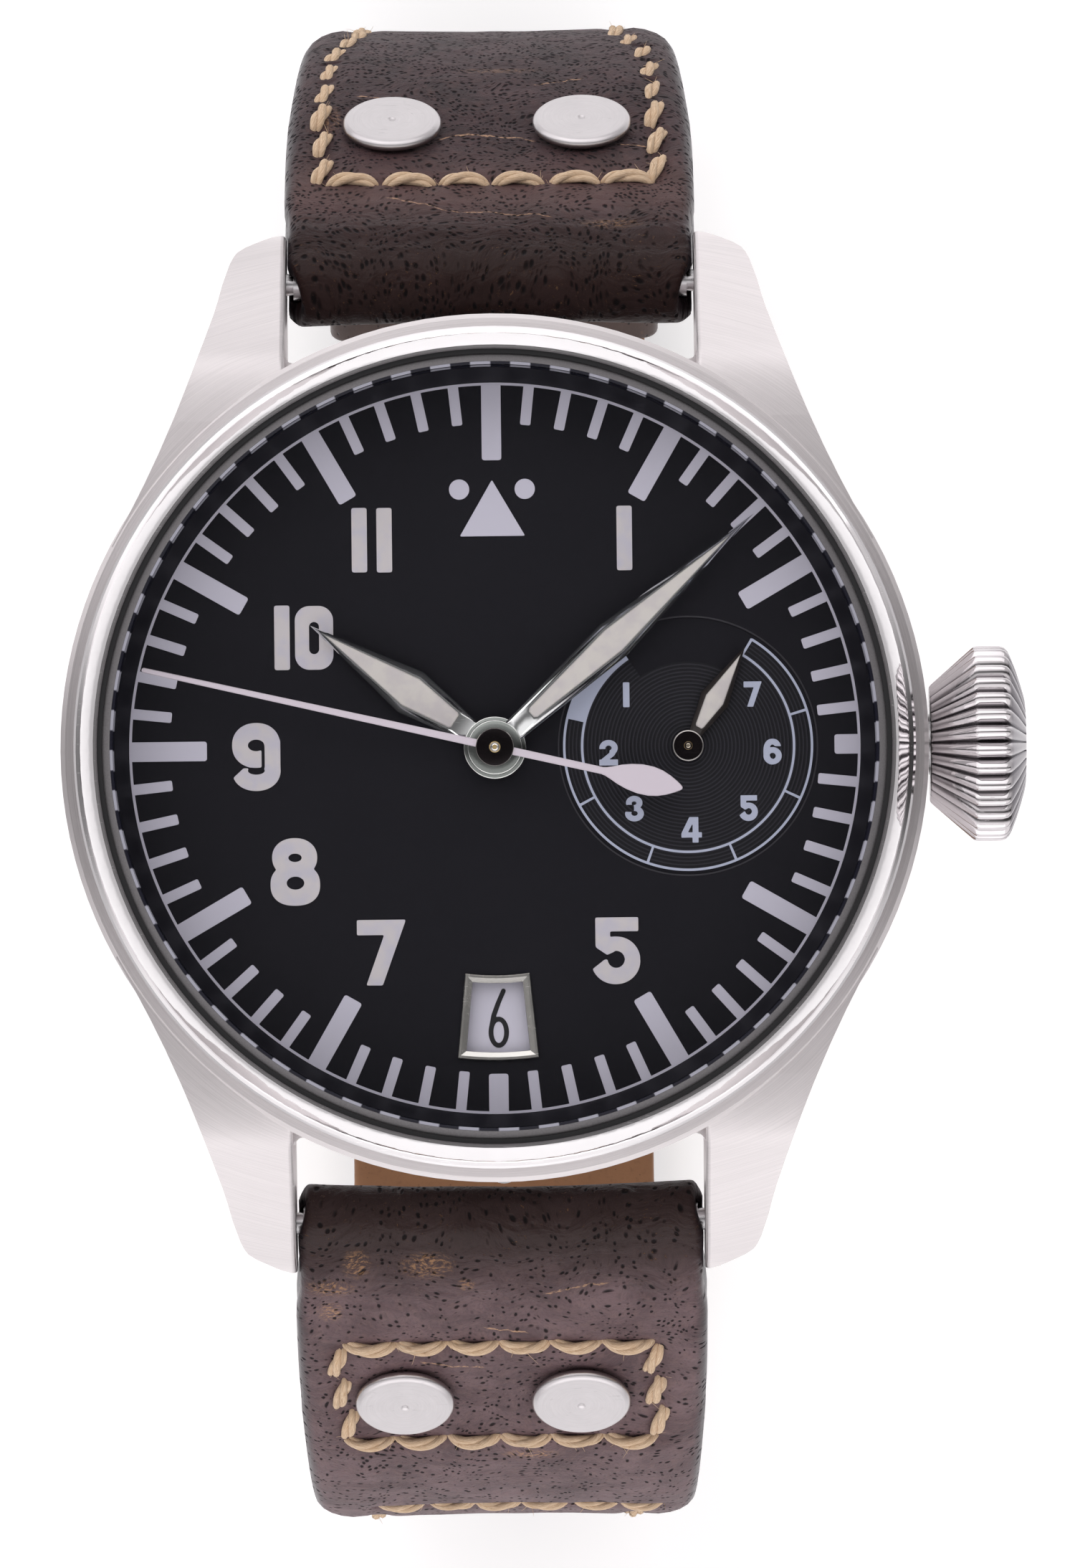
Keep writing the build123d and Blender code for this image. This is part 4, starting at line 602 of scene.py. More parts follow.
def inside(p, lp):
    x, y = p
    c = False
    for i in range(len(lp)):
        (x1, y1), (x2, y2) = lp[i], lp[(i + 1) % len(lp)]
        if (y1 > y) != (y2 > y) and x < (x2 - x1) * (y - y1) / (y2 - y1) + x1:
            c = not c
    return c


def trace(f, x0, x1, y0, y1, h, soften=2):
    """Outlines of the shape where f(x, y) < 0, as closed loops, with corners softened."""
    xs, ys = np.arange(x0, x1 + h, h), np.arange(y0, y1 + h, h)
    X, Y = np.meshgrid(xs, ys)
    V = f(X, Y)
    for _ in range(soften):
        W = V.copy()
        W[1:-1, 1:-1] = (V[1:-1, 1:-1] * 2 + V[:-2, 1:-1] + V[2:, 1:-1] + V[1:-1, :-2] + V[1:-1, 2:]) / 6
        V = W
    V = np.where(np.abs(V) < 1e-9, 1e-9, V)
    nxt, pos = {}, {}
    ny, nx = V.shape
    for i in range(ny - 1):
        for j in range(nx - 1):
            c = (V[i, j], V[i, j + 1], V[i + 1, j + 1], V[i + 1, j])
            ins = [q < 0 for q in c]
            if all(ins) or not any(ins):
                continue
            keys = (("h", i, j), ("v", i, j + 1), ("h", i + 1, j), ("v", i, j))
            pts = ((xs[j], ys[i]), (xs[j + 1], ys[i]), (xs[j + 1], ys[i + 1]), (xs[j], ys[i + 1]))
            exits, enters = [], []
            for e in range(4):
                a, b = e, (e + 1) % 4
                if ins[a] != ins[b]:
                    t = c[a] / (c[a] - c[b])
                    pos[keys[e]] = (pts[a][0] + (pts[b][0] - pts[a][0]) * t, pts[a][1] + (pts[b][1] - pts[a][1]) * t)
                    (exits if ins[a] else enters).append(e)
            if len(exits) == 1:
                nxt[keys[exits[0]]] = keys[enters[0]]
            else:
                mid = sum(c) < 0
                for e in exits:
                    nxt[keys[e]] = keys[(e + 1) % 4 if mid else (e - 1) % 4]
    loops, seen = [], set()
    for k in list(nxt):
        if k in seen:
            continue
        lp, q = [], k
        while q in nxt and q not in seen:
            seen.add(q)
            lp.append(pos[q])
            q = nxt[q]
        if len(lp) > 4:
            out = []
            for p in lp:
                if not out or math.hypot(p[0] - out[-1][0], p[1] - out[-1][1]) > h * 0.35:
                    out.append(p)
            loops.append(out)
    outers = [lp for lp in loops if area_of(lp) > 0]
    holes = [lp for lp in loops if area_of(lp) < 0]
    return [[o] + [q for q in holes if inside(q[0], o)] for o in outers]


# implicit shapes for the numerals, negative inside
def box(cx, cy, hx, hy, r=0.0):
    def f(X, Y):
        qx, qy = np.abs(X - cx) - (hx - r), np.abs(Y - cy) - (hy - r)
        return np.hypot(np.maximum(qx, 0), np.maximum(qy, 0)) + np.minimum(np.maximum(qx, qy), 0) - r
    return f


def oval(cx, cy, a, b, p=2.0):
    return lambda X, Y: (((np.abs(X - cx) / a) ** p + (np.abs(Y - cy) / b) ** p) ** (1 / p) - 1) * min(a, b)


def poly(pts):
    def f(X, Y):
        d = np.full(X.shape, 1e9)
        s = np.zeros(X.shape, bool)
        n = len(pts)
        for i in range(n):
            (x1, y1), (x2, y2) = pts[i], pts[(i + 1) % n]
            ex, ey = x2 - x1, y2 - y1
            t = np.clip(((X - x1) * ex + (Y - y1) * ey) / (ex * ex + ey * ey), 0, 1)
            d = np.minimum(d, np.hypot(X - x1 - ex * t, Y - y1 - ey * t))
            cond = (y1 > Y) != (y2 > Y)
            xi = (ex * (Y - y1) / (ey if abs(ey) > 1e-9 else 1e-9)) + x1
            s ^= cond & (X < xi)
        return np.where(s, -d, d)
    return f


def bar(x1, y1, x2, y2, r):
    def f(X, Y):
        ex, ey = x2 - x1, y2 - y1
        t = np.clip(((X - x1) * ex + (Y - y1) * ey) / (ex * ex + ey * ey), 0, 1)
        return np.hypot(X - x1 - ex * t, Y - y1 - ey * t) - r
    return f


def half(px, py, nx, ny):
    k = math.hypot(nx, ny)
    return lambda X, Y: ((X - px) * nx + (Y - py) * ny) / k


def join(*fs):
    return lambda X, Y: np.minimum.reduce([f(X, Y) for f in fs])


def meet(*fs):
    return lambda X, Y: np.maximum.reduce([f(X, Y) for f in fs])


def cut(f, g):
    return lambda X, Y: np.maximum(f(X, Y), -g(X, Y))


def nine():
    bowl = cut(cut(oval(0, 0.617, 1.28, 1.195, 2.15), oval(0, 0.617, 0.44, 0.31)), box(1.281, -0.4, 1.0, 1.0))
    stem = box(0.868, 0.08, 0.416, 0.81)
    tail = meet(cut(oval(0, -0.732, 1.29, 1.08, 2.1), oval(0, -0.732, 0.455, 0.21)), half(-1.207, -1.079, -0.675, 0.737), half(0, -0.60, 0, 1))
    return join(bowl, stem, tail)


def eight():
    return cut(cut(join(oval(-0.02, 0.756, 1.20, 1.04, 2.15), oval(0, -0.694, 1.32, 1.11, 2.35)), oval(0, 0.748, 0.36, 0.224)), oval(0.01, -0.601, 0.47, 0.347))


def seven(w=1.0):
    return poly([(-1.288 * w, 1.743), (1.31 * w, 1.743), (1.28 * w, 1.60), (0.062 * w, -1.75), (-0.81 * w, -1.742), (0.162 * w, 0.933), (-1.288 * w, 0.933)])


def five():
    ring = cut(oval(-0.026, -0.51, 1.31, 1.27, 2.05), oval(0, -0.458, 0.454, 0.454))
    low = meet(ring, half(-1.283, -0.98, -0.614, 0.789), half(0, -0.458, 0, 1))
    up = meet(ring, half(-0.31, 0, -1, 0), half(0, -0.458, 0, -1))
    arm = poly([(-1.094, 1.777), (1.195, 1.777), (1.195, 1.032), (-0.313, 1.032), (-0.313, 0.5), (-0.09, -0.05), (-0.481, -0.216), (-1.063, 0.18), (-1.094, 0.29)])
    return join(low, up, arm)


def zero():
    return cut(box(0, 0, 1.02, 1.70, 0.78), box(0, -0.01, 0.267, 0.86, 0.265))


def one(h=1.72, w=0.41, r=0.10):
    return box(0, 0, w, h, r)


def small_two():
    top = meet(cut(oval(0, 0.25, 0.49, 0.43), oval(0, 0.25, 0.165, 0.13)), join(half(0, 0.20, 0, -1), half(0.05, 0, -1, 0)))
    return join(meet(top, half(0, -0.02, 0, -1)), poly([(0.16, 0.10), (0.485, 0.16), (0.30, -0.16), (-0.06, -0.42), (-0.06, -0.66), (-0.50, -0.66), (-0.50, -0.44), (-0.1, -0.12)]), box(0, -0.52, 0.50, 0.16))


def small_three():
    a = cut(join(oval(-0.01, 0.31, 0.44, 0.37), oval(0, -0.27, 0.50, 0.41)), join(oval(-0.02, 0.29, 0.13, 0.095), oval(0, -0.255, 0.17, 0.13)))
    return cut(a, join(poly([(-0.9, 0.20), (-0.15, 0.20), (-0.02, 0.13), (-0.02, -0.08), (-0.15, -0.16), (-0.9, -0.16)]), box(-0.20, 0.02, 0.16, 0.19)))


def small_four():
    outline = poly([(-0.12, 0.68), (0.36, 0.68), (0.36, -0.13), (0.54, -0.13), (0.54, -0.41), (0.36, -0.41), (0.36, -0.68), (0.04, -0.68), (0.04, -0.41), (-0.55, -0.41), (-0.55, -0.18)])
    return cut(outline, poly([(0.05, 0.34), (0.05, -0.13), (-0.20, -0.13)]))


def small_six():
    bowl = cut(oval(0, -0.22, 0.49, 0.46), oval(0.0, -0.23, 0.17, 0.165))
    arm = cut(cut(oval(0, 0.0, 0.49, 0.685, 2.3), oval(0.0, 0.0, 0.17, 0.38, 2.2)), box(0.60, -0.28, 0.60, 0.57))
    return join(bowl, arm)


def tall_six():
    bowl = cut(oval(0, -0.74, 0.545, 0.83), oval(0.0, -0.74, 0.285, 0.57))
    return join(bowl, bar(0.27, 1.46, -0.02, 0.80, 0.125), bar(-0.02, 0.80, -0.26, 0.15, 0.13), bar(-0.26, 0.15, -0.41, -0.6, 0.13))


def glyph(f, hx, hy, h=0.035, soften=2):
    return trace(f, -hx - 4 * h, hx + 4 * h, -hy - 4 * h, hy + 4 * h, h, soften)


GLYPHS = {
    "0": (zero(), 1.05, 1.75), "1": (one(), 0.45, 1.75), "5": (five(), 1.35, 1.82), "7": (seven(), 1.35, 1.78),
    "8": (eight(), 1.36, 1.85), "9": (nine(), 1.34, 1.86),
}
SMALL = {
    "2": (small_two(), 0.55, 0.72), "3": (small_three(), 0.55, 0.72), "4": (small_four(), 0.60, 0.72), "6": (small_six(), 0.55, 0.72),
}
BIG_SHAPES = {k: glyph(f, a, b, 0.035, 3) for k, (f, a, b) in GLYPHS.items()}
SMALL_SHAPES = {k: glyph(f, a, b, 0.018, 2) for k, (f, a, b) in SMALL.items()}


def place(shapes, cx, cy, sx=1.0, sy=1.0, rot=0.0):
    c, s = math.cos(rot), math.sin(rot)
    return [[[(cx + (x * sx) * c - (y * sy) * s, cy + (x * sx) * s + (y * sy) * c) for x, y in lp] for lp in shape] for shape in shapes]


TILT = math.radians(0.67)


def dial_pt(x, y):
    """From the photograph's upright mm about the dial axis to the dial's own axes."""
    return x * math.cos(TILT) + y * math.sin(TILT), -x * math.sin(TILT) + y * math.cos(TILT)


def clock(r, deg):
    a = math.radians(90 - deg)
    return (r * math.cos(a), r * math.sin(a))


# ============================================================ dial furniture
DIAL_Z = 9.6


def rounded_tick(r0, r1, w, deg, rad=0.12, outer_round=False):
    """A bar along a radius with its inner corners rounded."""
    a = math.radians(90 - deg)
    ux, uy, vx, vy = math.cos(a), math.sin(a), -math.sin(a), math.cos(a)
    out = [(r0 + rad - rad * math.cos(t), -(w / 2 - rad) - rad * math.sin(t)) for t in [math.pi / 2 * k / 4 for k in range(5)]]
    side = out + [(r1, -w / 2)]
    full = side + [(r, -q) for r, q in side[::-1]]
    return [(r * ux + q * vx, r * uy + q * vy) for r, q in full]


bag = Bag()
ticks = Bag()
for i in range(60):
    deg = 6.0 * i
    if i == 15:
        lp = rounded_tick(18.1, 19.38, 1.04, deg, 0.14)
    elif i == 30:
        lp = rounded_tick(17.35, 19.38, 1.04, deg, 0.14)
    elif i % 5 == 0:
        lp = rounded_tick(15.35, 19.38, 1.04, deg, 0.14)
    else:
        lp = rounded_tick(17.3, 19.38, 0.56, deg, 0.10)
    if area_of(lp) < 0:
        lp = lp[::-1]
    ticks.add(*plate([lp], DIAL_Z, DIAL_Z + 0.035))
ring_out = [clock(19.49, 360 * k / 240) for k in range(240)][::-1]
ring_in = [clock(19.35, 360 * k / 240) for k in range(240)]
ticks.add(*plate([ring_out, ring_in], DIAL_Z, DIAL_Z + 0.03))
tri = [(-1.74, 11.3), (1.74, 11.3), (0, 14.3)]
tri_shape = trace(poly(tri), -1.95, 1.95, 11.1, 14.5, 0.04, 1)
for shape in tri_shape:
    ticks.add(*plate(shape, DIAL_Z, DIAL_Z + 0.035))
for sx in (-1.75, 1.75):
    ticks.add(*plate([[(sx + 0.54 * math.cos(2 * math.pi * k / 40), 13.8 + 0.54 * math.sin(2 * math.pi * k / 40)) for k in range(40)]], DIAL_Z, DIAL_Z + 0.035))
minute_marks = ticks.make("dial_minute_marks", "case", m_print, sharp=30, slot="black_dial")

numbers = Bag()


def write(shapes, cx, cy, sx=1.0, sy=1.0, z0=DIAL_Z, z1=DIAL_Z + 0.045, into=None, rot=0.0):
    for shape in place(shapes, cx, cy, sx, sy, rot):
        (into if into is not None else numbers).add(*plate(shape, z0, z1))


for glyph_name, gx, gy in (("1", -7.235, 11.08), ("1", -5.905, 11.08), ("1", 6.9, 11.2), ("1", -11.35, 5.87), ("0", -9.64, 5.87),
                           ("9", -12.72, -0.48), ("8", -10.64, -6.6), ("7", -6.05, -10.9), ("5", 6.46, -10.8)):
    px, py = dial_pt(gx, gy)
    write(BIG_SHAPES[glyph_name], px, py)
numerals = numbers.make("dial_numerals", "case", m_numeral, sharp=30, slot="black_dial")

# power reserve: turned field, rings, division lines, figures
SUB_X, SUB_Z = 10.3, 9.5
field = Bag()


def turned(r0, r1, a0, a1, n_a, z, pitch=0.2, amp=0.010):
    """A band of fine turned ripples about the sub-dial's centre; angles clockwise from 12."""
    steps = max(4, int((r1 - r0) / pitch * 5))
    full = abs(a1 - a0) >= 359.9
    verts, faces = [], []
    cols = n_a if full else n_a + 1
    for i in range(steps + 1):
        r = r0 + (r1 - r0) * i / steps
        h = z + 0.012 + amp * math.sin((r - 0.9) * 2 * math.pi / pitch)
        for j in range(cols):
            x, y = clock(r, a0 + (a1 - a0) * j / n_a)
            verts.append((SUB_X + x, y, h))
    for i in range(steps):
        for j in range(n_a):
            k = (j + 1) % cols
            faces.append((i * cols + j, i * cols + k, (i + 1) * cols + k, (i + 1) * cols + j))
    # a thin skirt closes the band down to the dial
    base = len(verts)
    verts += [(x, y, z - 0.004) for x, y, h in verts]
    m = len(faces)
    faces += [tuple(q + base for q in f[::-1]) for f in faces[:m]]
    rim = [[i0 * cols + j for j in range(cols)] for i0 in (0, steps)]
    for row in rim:
        for j in range(n_a):
            a, b = row[j], row[(j + 1) % cols]
            faces.append((a, b, b + base, a + base))
    if not full:
        for j in (0, cols - 1):
            for i in range(steps):
                a, b = i * cols + j, (i + 1) * cols + j
                faces.append((a, b, b + base, a + base))
    return verts, faces


field.add(*turned(0.92, 4.5, 0, 360, 128, SUB_Z))
field.add(*turned(4.5, 5.58, 31.0, 326.0, 110, SUB_Z))
field.add(*turned(5.72, 6.52, 32.5, 283.0, 96, SUB_Z))
sub_field = field.make("sub_dial_turned_field", "case", m_groove, sharp=60, slot="black_dial")

rings = Bag()


def arc_band(r0, r1, a0, a1, n, z0, z1):
    outer = [clock(r1, a0 + (a1 - a0) * k / n) for k in range(n + 1)]
    inner = [clock(r0, a0 + (a1 - a0) * k / n) for k in range(n + 1)]
    verts, faces = [], []
    for z in (z1, z0):
        verts += [(SUB_X + x, y, z) for x, y in outer] + [(SUB_X + x, y, z) for x, y in inner]
    m = n + 1
    for k in range(n):
        faces += [(k, k + 1, m + k + 1, m + k), (2 * m + k, 3 * m + k, 3 * m + k + 1, 2 * m + k + 1),
                  (k, 2 * m + k, 2 * m + k + 1, k + 1), (m + k, m + k + 1, 3 * m + k + 1, 3 * m + k)]
    for k in (0, n):
        faces.append((k, m + k, 3 * m + k, 2 * m + k))
    return verts, faces


PZ0, PZ1 = SUB_Z + 0.005, SUB_Z + 0.045
rings.add(*arc_band(6.54, 6.67, 31.5, 326.0, 160, PZ0, PZ1))
rings.add(*arc_band(5.585, 5.715, 31.5, 326.0, 150, PZ0, PZ1))
rings.add(*arc_band(5.60, 6.60, 284.0, 326.0, 30, PZ0, PZ1 + 0.001))
for deg in (31.5, 73.6, 115.6, 157.7, 199.8, 241.9, 284.0):
    half_w = math.degrees(0.065 / 6.1)
    rings.add(*arc_band(5.62, 6.64, deg - half_w, deg + half_w, 2, PZ0, PZ1 + 0.002))
for g, gx, gy, sx, sy in (("1", -3.3, 2.72, 0.42, 0.385), ("2", -4.24, -0.37, 1, 1), ("3", -2.86, -3.35, 1, 1), ("4", 0.19, -4.48, 1, 1),
                          ("5", 3.22, -3.32, 0.385, 0.385), ("6", 4.5, -0.31, 1, 1), ("7", 3.44, 2.76, 0.37, 0.385)):
    shapes = BIG_SHAPES[g] if g in "157" else SMALL_SHAPES[g]
    px, py = dial_pt(gx, gy)
    write(shapes, SUB_X + px, py, sx, sy, PZ0, PZ1, rings)
sub_print = rings.make("sub_dial_print", "case", m_subprint, sharp=30, slot="black_dial")

# faint turned edge of the sunk field
edge_ring = Bag()
edge_ring.add(*lathe([(6.86, 9.49), (6.86, 9.612), (6.90, 9.622), (6.94, 9.612), (6.94, 9.60)], 160, (SUB_X, 0, 0)))
sub_edge = edge_ring.make("sub_dial_edge", "case", lacquer("sub_dial_edge_black", (0.022, 0.021, 0.027), 0.4, 0.2), sharp=60, slot="black_dial")


def trapezoid(w_top, w_bot, y_top, y_bot, n=8):
    pts = []
    for i in range(n + 1):
        x = -w_top / 2 + w_top * i / n
        pts.append((x, -math.sqrt(y_top * y_top - x * x)))
    for i in range(n + 1):
        x = w_bot / 2 - w_bot * i / n
        pts.append((x, -math.sqrt(y_bot * y_bot - x * x)))
    return pts


def bridge(rows, closed=True):
    """Joins loops of the same length into a skin."""
    n = len(rows[0])
    verts = [p for row in rows for p in row]
    faces = []
    for i in range(len(rows) - 1):
        for j in range(n if closed else n - 1):
            k = (j + 1) % n
            faces.append((i * n + j, i * n + k, (i + 1) * n + k, (i + 1) * n + j))
    return verts, faces


win = Bag()
rows = []
for (wt, wb, yt, yb), z in (((3.44, 4.33, 12.12, 16.65), 9.60), ((3.44, 4.33, 12.12, 16.65), 9.745), ((3.37, 4.25, 12.16, 16.60), 9.78),
                            ((3.16, 4.00, 12.27, 16.47), 9.78), ((2.70, 3.42, 12.52, 16.22), 9.63), ((2.66, 3.38, 12.54, 16.20), 9.60),
                            ((2.66, 3.38, 12.54, 16.20), 9.22), ((2.9, 3.7, 12.42, 16.3), 9.22), ((2.9, 3.7, 12.42, 16.3), 9.60)):
    rows.append([(x, y, z) for x, y in trapezoid(wt, wb, yt, yb)])
rows.append(rows[0])
v, f = bridge(rows)
win.add(v, f)
date_window = win.make("date_window_frame", "case", m_frame, sharp=25, slot="date_steel", weld=0.001)
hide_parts("date_frame")

digits = Bag()
TALL = trace(tall_six(), -0.75, 0.75, -1.8, 1.8, 0.03, 2)
DISC_Z = 8.85
NARROW = {"0": 0.50, "1": 0.60, "5": 0.38, "7": 0.40, "8": 0.38, "9": 0.38}
for day in range(1, 32):
    turn = -(day - 6) * 2 * math.pi / 31
    text = str(day)
    if day == 6:
        for shape in place(TALL, 0.03, -14.4):
            digits.add(*plate(shape, DISC_Z, DISC_Z + 0.02))
        continue
    for k, ch in enumerate(text):
        off = 0.0 if len(text) == 1 else (k - 0.5) * 1.18
        if ch in NARROW:
            shapes, sx, sy = BIG_SHAPES[ch], NARROW[ch], 0.86
        else:
            shapes, sx, sy = (TALL, 0.92, 1.0) if ch == "6" else (SMALL_SHAPES[ch], 1.0, 2.25)
        c, s = math.cos(turn), math.sin(turn)
        cx, cy = off * c + 14.4 * s, off * s - 14.4 * c
        for shape in place(shapes, cx, cy, sx, sy, turn):
            digits.add(*plate(shape, DISC_Z, DISC_Z + 0.02))
date_digits = digits.make("date_disc_digits", "date", m_digit, sharp=30, slot="date_white")


# ============================================================ hands
def hand_axes(deg, cx=0.0):
    a = math.radians(90 - deg)
    return (math.cos(a), math.sin(a)), (-math.sin(a), math.cos(a)), cx


def kite(deg, pts, z, cx=0.0):
    """Symmetric outline, (distance, half width) points, tip last."""
    u, v, cx = hand_axes(deg, cx)
    left = [(cx + r * u[0] + w * v[0], r * u[1] + w * v[1], z) for r, w in pts]
    right = [(cx + r * u[0] - w * v[0], r * u[1] - w * v[1], z) for r, w in pts[::-1] if w > 1e-6]
    return left + right


def framed_hand(name, body, deg, z0, outer, inner, h, steel, slot, cx=0.0, flat=0.0, gap=0.055):
    """A faceted frame round a sunk luminous fill. outer and inner are matching kites."""
    def grow(pts, d):
        return [(r + (0.0 if 0 < i < len(pts) - 1 else (-d if i == 0 else d * 2.2)), w + d if w > 1e-6 else 0.0) for i, (r, w) in enumerate(pts)]
    mid = [(ro + (ri - ro) * 0.5, wo + (wi - wo) * 0.5) for (ro, wo), (ri, wi) in zip(outer, grow(inner, gap))]
    near = [(ro + (ri - ro) * 0.08, wo + (wi - wo) * 0.08) for (ro, wo), (ri, wi) in zip(outer, grow(inner, gap))]
    rows = [kite(deg, outer, z0, cx), kite(deg, outer, z0 + 0.10 * h, cx), kite(deg, near, z0 + 0.22 * h, cx), kite(deg, mid, z0 + 0.68 * h, cx),
            kite(deg, grow(inner, gap + 0.05), z0 + h, cx), kite(deg, grow(inner, gap), z0 + h, cx), kite(deg, grow(inner, gap), z0 + 0.45 * h, cx)]
    v, f = bridge(rows)
    n = len(rows[0])
    top = len(v) - n
    f.append(tuple(range(top, top + n)))
    f.append(tuple(range(n))[::-1])
    b = Bag()
    b.add(v, f)
    frame_ob = b.make(name + "_frame", body, steel, sharp=22, slot=slot)
    fill = Bag()
    rows = [kite(deg, inner, z0 + 0.455 * h, cx), kite(deg, inner, z0 + 0.74 * h, cx)]
    shrunk = [(r + (0.05 if i == 0 else (-0.10 if i == len(inner) - 1 else 0)), max(w - 0.05, 0.0) if w > 1e-6 else 0.0) for i, (r, w) in enumerate(inner)]
    rows.append(kite(deg, shrunk, z0 + 0.84 * h, cx))
    v, f = bridge(rows)
    n = len(rows[0])
    f.append(tuple(range(len(v) - n, len(v))))
    f.append(tuple(range(n))[::-1])
    fill.add(v, f)
    fill_ob = fill.make(name + "_lume", body, m_lume, sharp=30, slot=slot)
    return frame_ob, fill_ob


def hub(name, body, profile, mats, mi, slot, cx=0.0, n=96):
    b = Bag()
    start = 0
    for pts, k in zip(profile, mi):
        b.add(*lathe(pts, n, (cx, 0, 0)), mi=k)
    return b.make(name, body, mats, sharp=35, slot=slot, weld=0.0005)


hour_deg, minute_deg, second_deg, reserve_deg = 304.1, 48.6, 283.0, 30.5
hour_outer = [(0.9, 0.62), (1.55, 0.64), (5.35, 1.26), (11.8, 0.0)]
hour_inner = [(2.55, 0.38), (2.66, 0.47), (5.38, 0.84), (10.9, 0.0)]
h1, h2 = framed_hand("hour_hand", "hours", hour_deg, 10.18, hour_outer, hour_inner, 0.34, m_hand, "hand_steel")
minute_outer = [(0.8, 0.60), (1.4, 0.62), (8.5, 1.075), (18.6, 0.0)]
minute_inner = [(2.62, 0.20), (2.78, 0.32), (8.5, 0.70), (16.8, 0.0)]
m1, m2 = framed_hand("minute_hand", "minutes", minute_deg, 10.8, minute_outer, minute_inner, 0.34, m_hand, "hand_steel")
hh = hub("hour_hand_hub", "hours", [[(1.16, 10.18), (1.67, 10.18), (1.67, 10.36), (1.645, 10.395), (1.62, 10.41)], [(1.62, 10.41), (1.38, 10.47), (1.16, 10.475), (1.16, 10.18)]],
         [m_hub_lip, m_hub_steel], [0, 1], "hand_steel")
mh = hub("minute_hand_hub", "minutes", [[(0.76, 10.80), (1.46, 10.80), (1.46, 11.00), (1.435, 11.035), (1.41, 11.05)], [(1.41, 11.05), (1.15, 11.11), (0.76, 11.115), (0.76, 10.80)]],
         [m_hub_lip, m_hub_steel], [0, 1], "hand_steel")
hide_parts("hour_hand")
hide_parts("hour_hand")
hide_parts("minute_hand")
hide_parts("minute_hand")

leaf = [(-5.85, 0.19), (-6.05, 0.23), (-6.35, 0.34), (-6.8, 0.53), (-7.3, 0.68), (-7.9, 0.785), (-8.5, 0.785), (-9.0, 0.69), (-9.45, 0.52), (-9.85, 0.31), (-10.08, 0.17), (-10.2, 0.06)]
blade = leaf[::-1] + [(0.0, 0.205), (6.0, 0.185), (12.0, 0.160), (19.12, 0.135), (19.2, 0.07)]
sec = Bag()
shrink = [(r, max(w - 0.035, 0.02)) for r, w in blade]
rows = [kite(second_deg, shrink, 11.405), kite(second_deg, blade, 11.43), kite(second_deg, blade, 11.545), kite(second_deg, shrink, 11.58)]
v, f = bridge(rows)
n = len(rows[0])
half_n = n // 2
for base in (0, len(v) - n):
    for i in range(half_n - 1):
        f.append((base + i, base + i + 1, base + n - 2 - i, base + n - 1 - i))
sec.add(v, f)
sh = sec.make("seconds_hand_blade", "seconds", m_seconds, sharp=40, slot="hand_white")
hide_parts("seconds_hand")
sb = hub("seconds_hand_hub", "seconds",
         [[(0.31, 11.30), (0.99, 11.30), (1.02, 11.33), (1.02, 11.69), (1.005, 11.71), (0.985, 11.71), (0.975, 11.69)],
          [(0.975, 11.69), (0.95, 11.685), (0.40, 11.70), (0.30, 11.70), (0.31, 11.30)],
          [(0.26, 11.68), (0.265, 11.74), (0.235, 11.775), (0.16, 11.78), (0.125, 11.76)],
          [(0.125, 11.76), (0.10, 11.71), (0.0, 11.70)]],
         [m_hub_rim, m_hub_dark, m_pin], [0, 1, 0, 1], "hand_white")
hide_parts("seconds_hand")

res_outer = [(0.5, 0.33), (0.85, 0.36), (2.85, 0.80), (6.10, 0.0)]
res_inner = [(1.12, 0.16), (1.22, 0.23), (2.82, 0.52), (5.62, 0.0)]
r1, r2 = framed_hand("reserve_hand", "reserve", reserve_deg, 9.85, res_outer, res_inner, 0.20, m_black_hand, "hand_black", cx=SUB_X, gap=0.01)
rb = hub("reserve_hand_hub", "reserve",
         [[(0.31, 9.85), (0.79, 9.85), (0.82, 9.87), (0.84, 10.04), (0.815, 10.08), (0.765, 10.085), (0.75, 10.05)],
          [(0.75, 10.05), (0.30, 10.055), (0.22, 10.055), (0.31, 9.85)],
          [(0.20, 10.04), (0.205, 10.075), (0.17, 10.09), (0.12, 10.085)],
          [(0.12, 10.085), (0.09, 10.06), (0.0, 10.055)]],
         [m_hub_rim, m_hub_dark, m_pin], [0, 1, 1, 2], "hand_black", cx=SUB_X, n=72)
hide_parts("reserve_hand")
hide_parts("reserve_hand")

# ============================================================ crown
CROWN_Z, LOBES = 6.9, 32


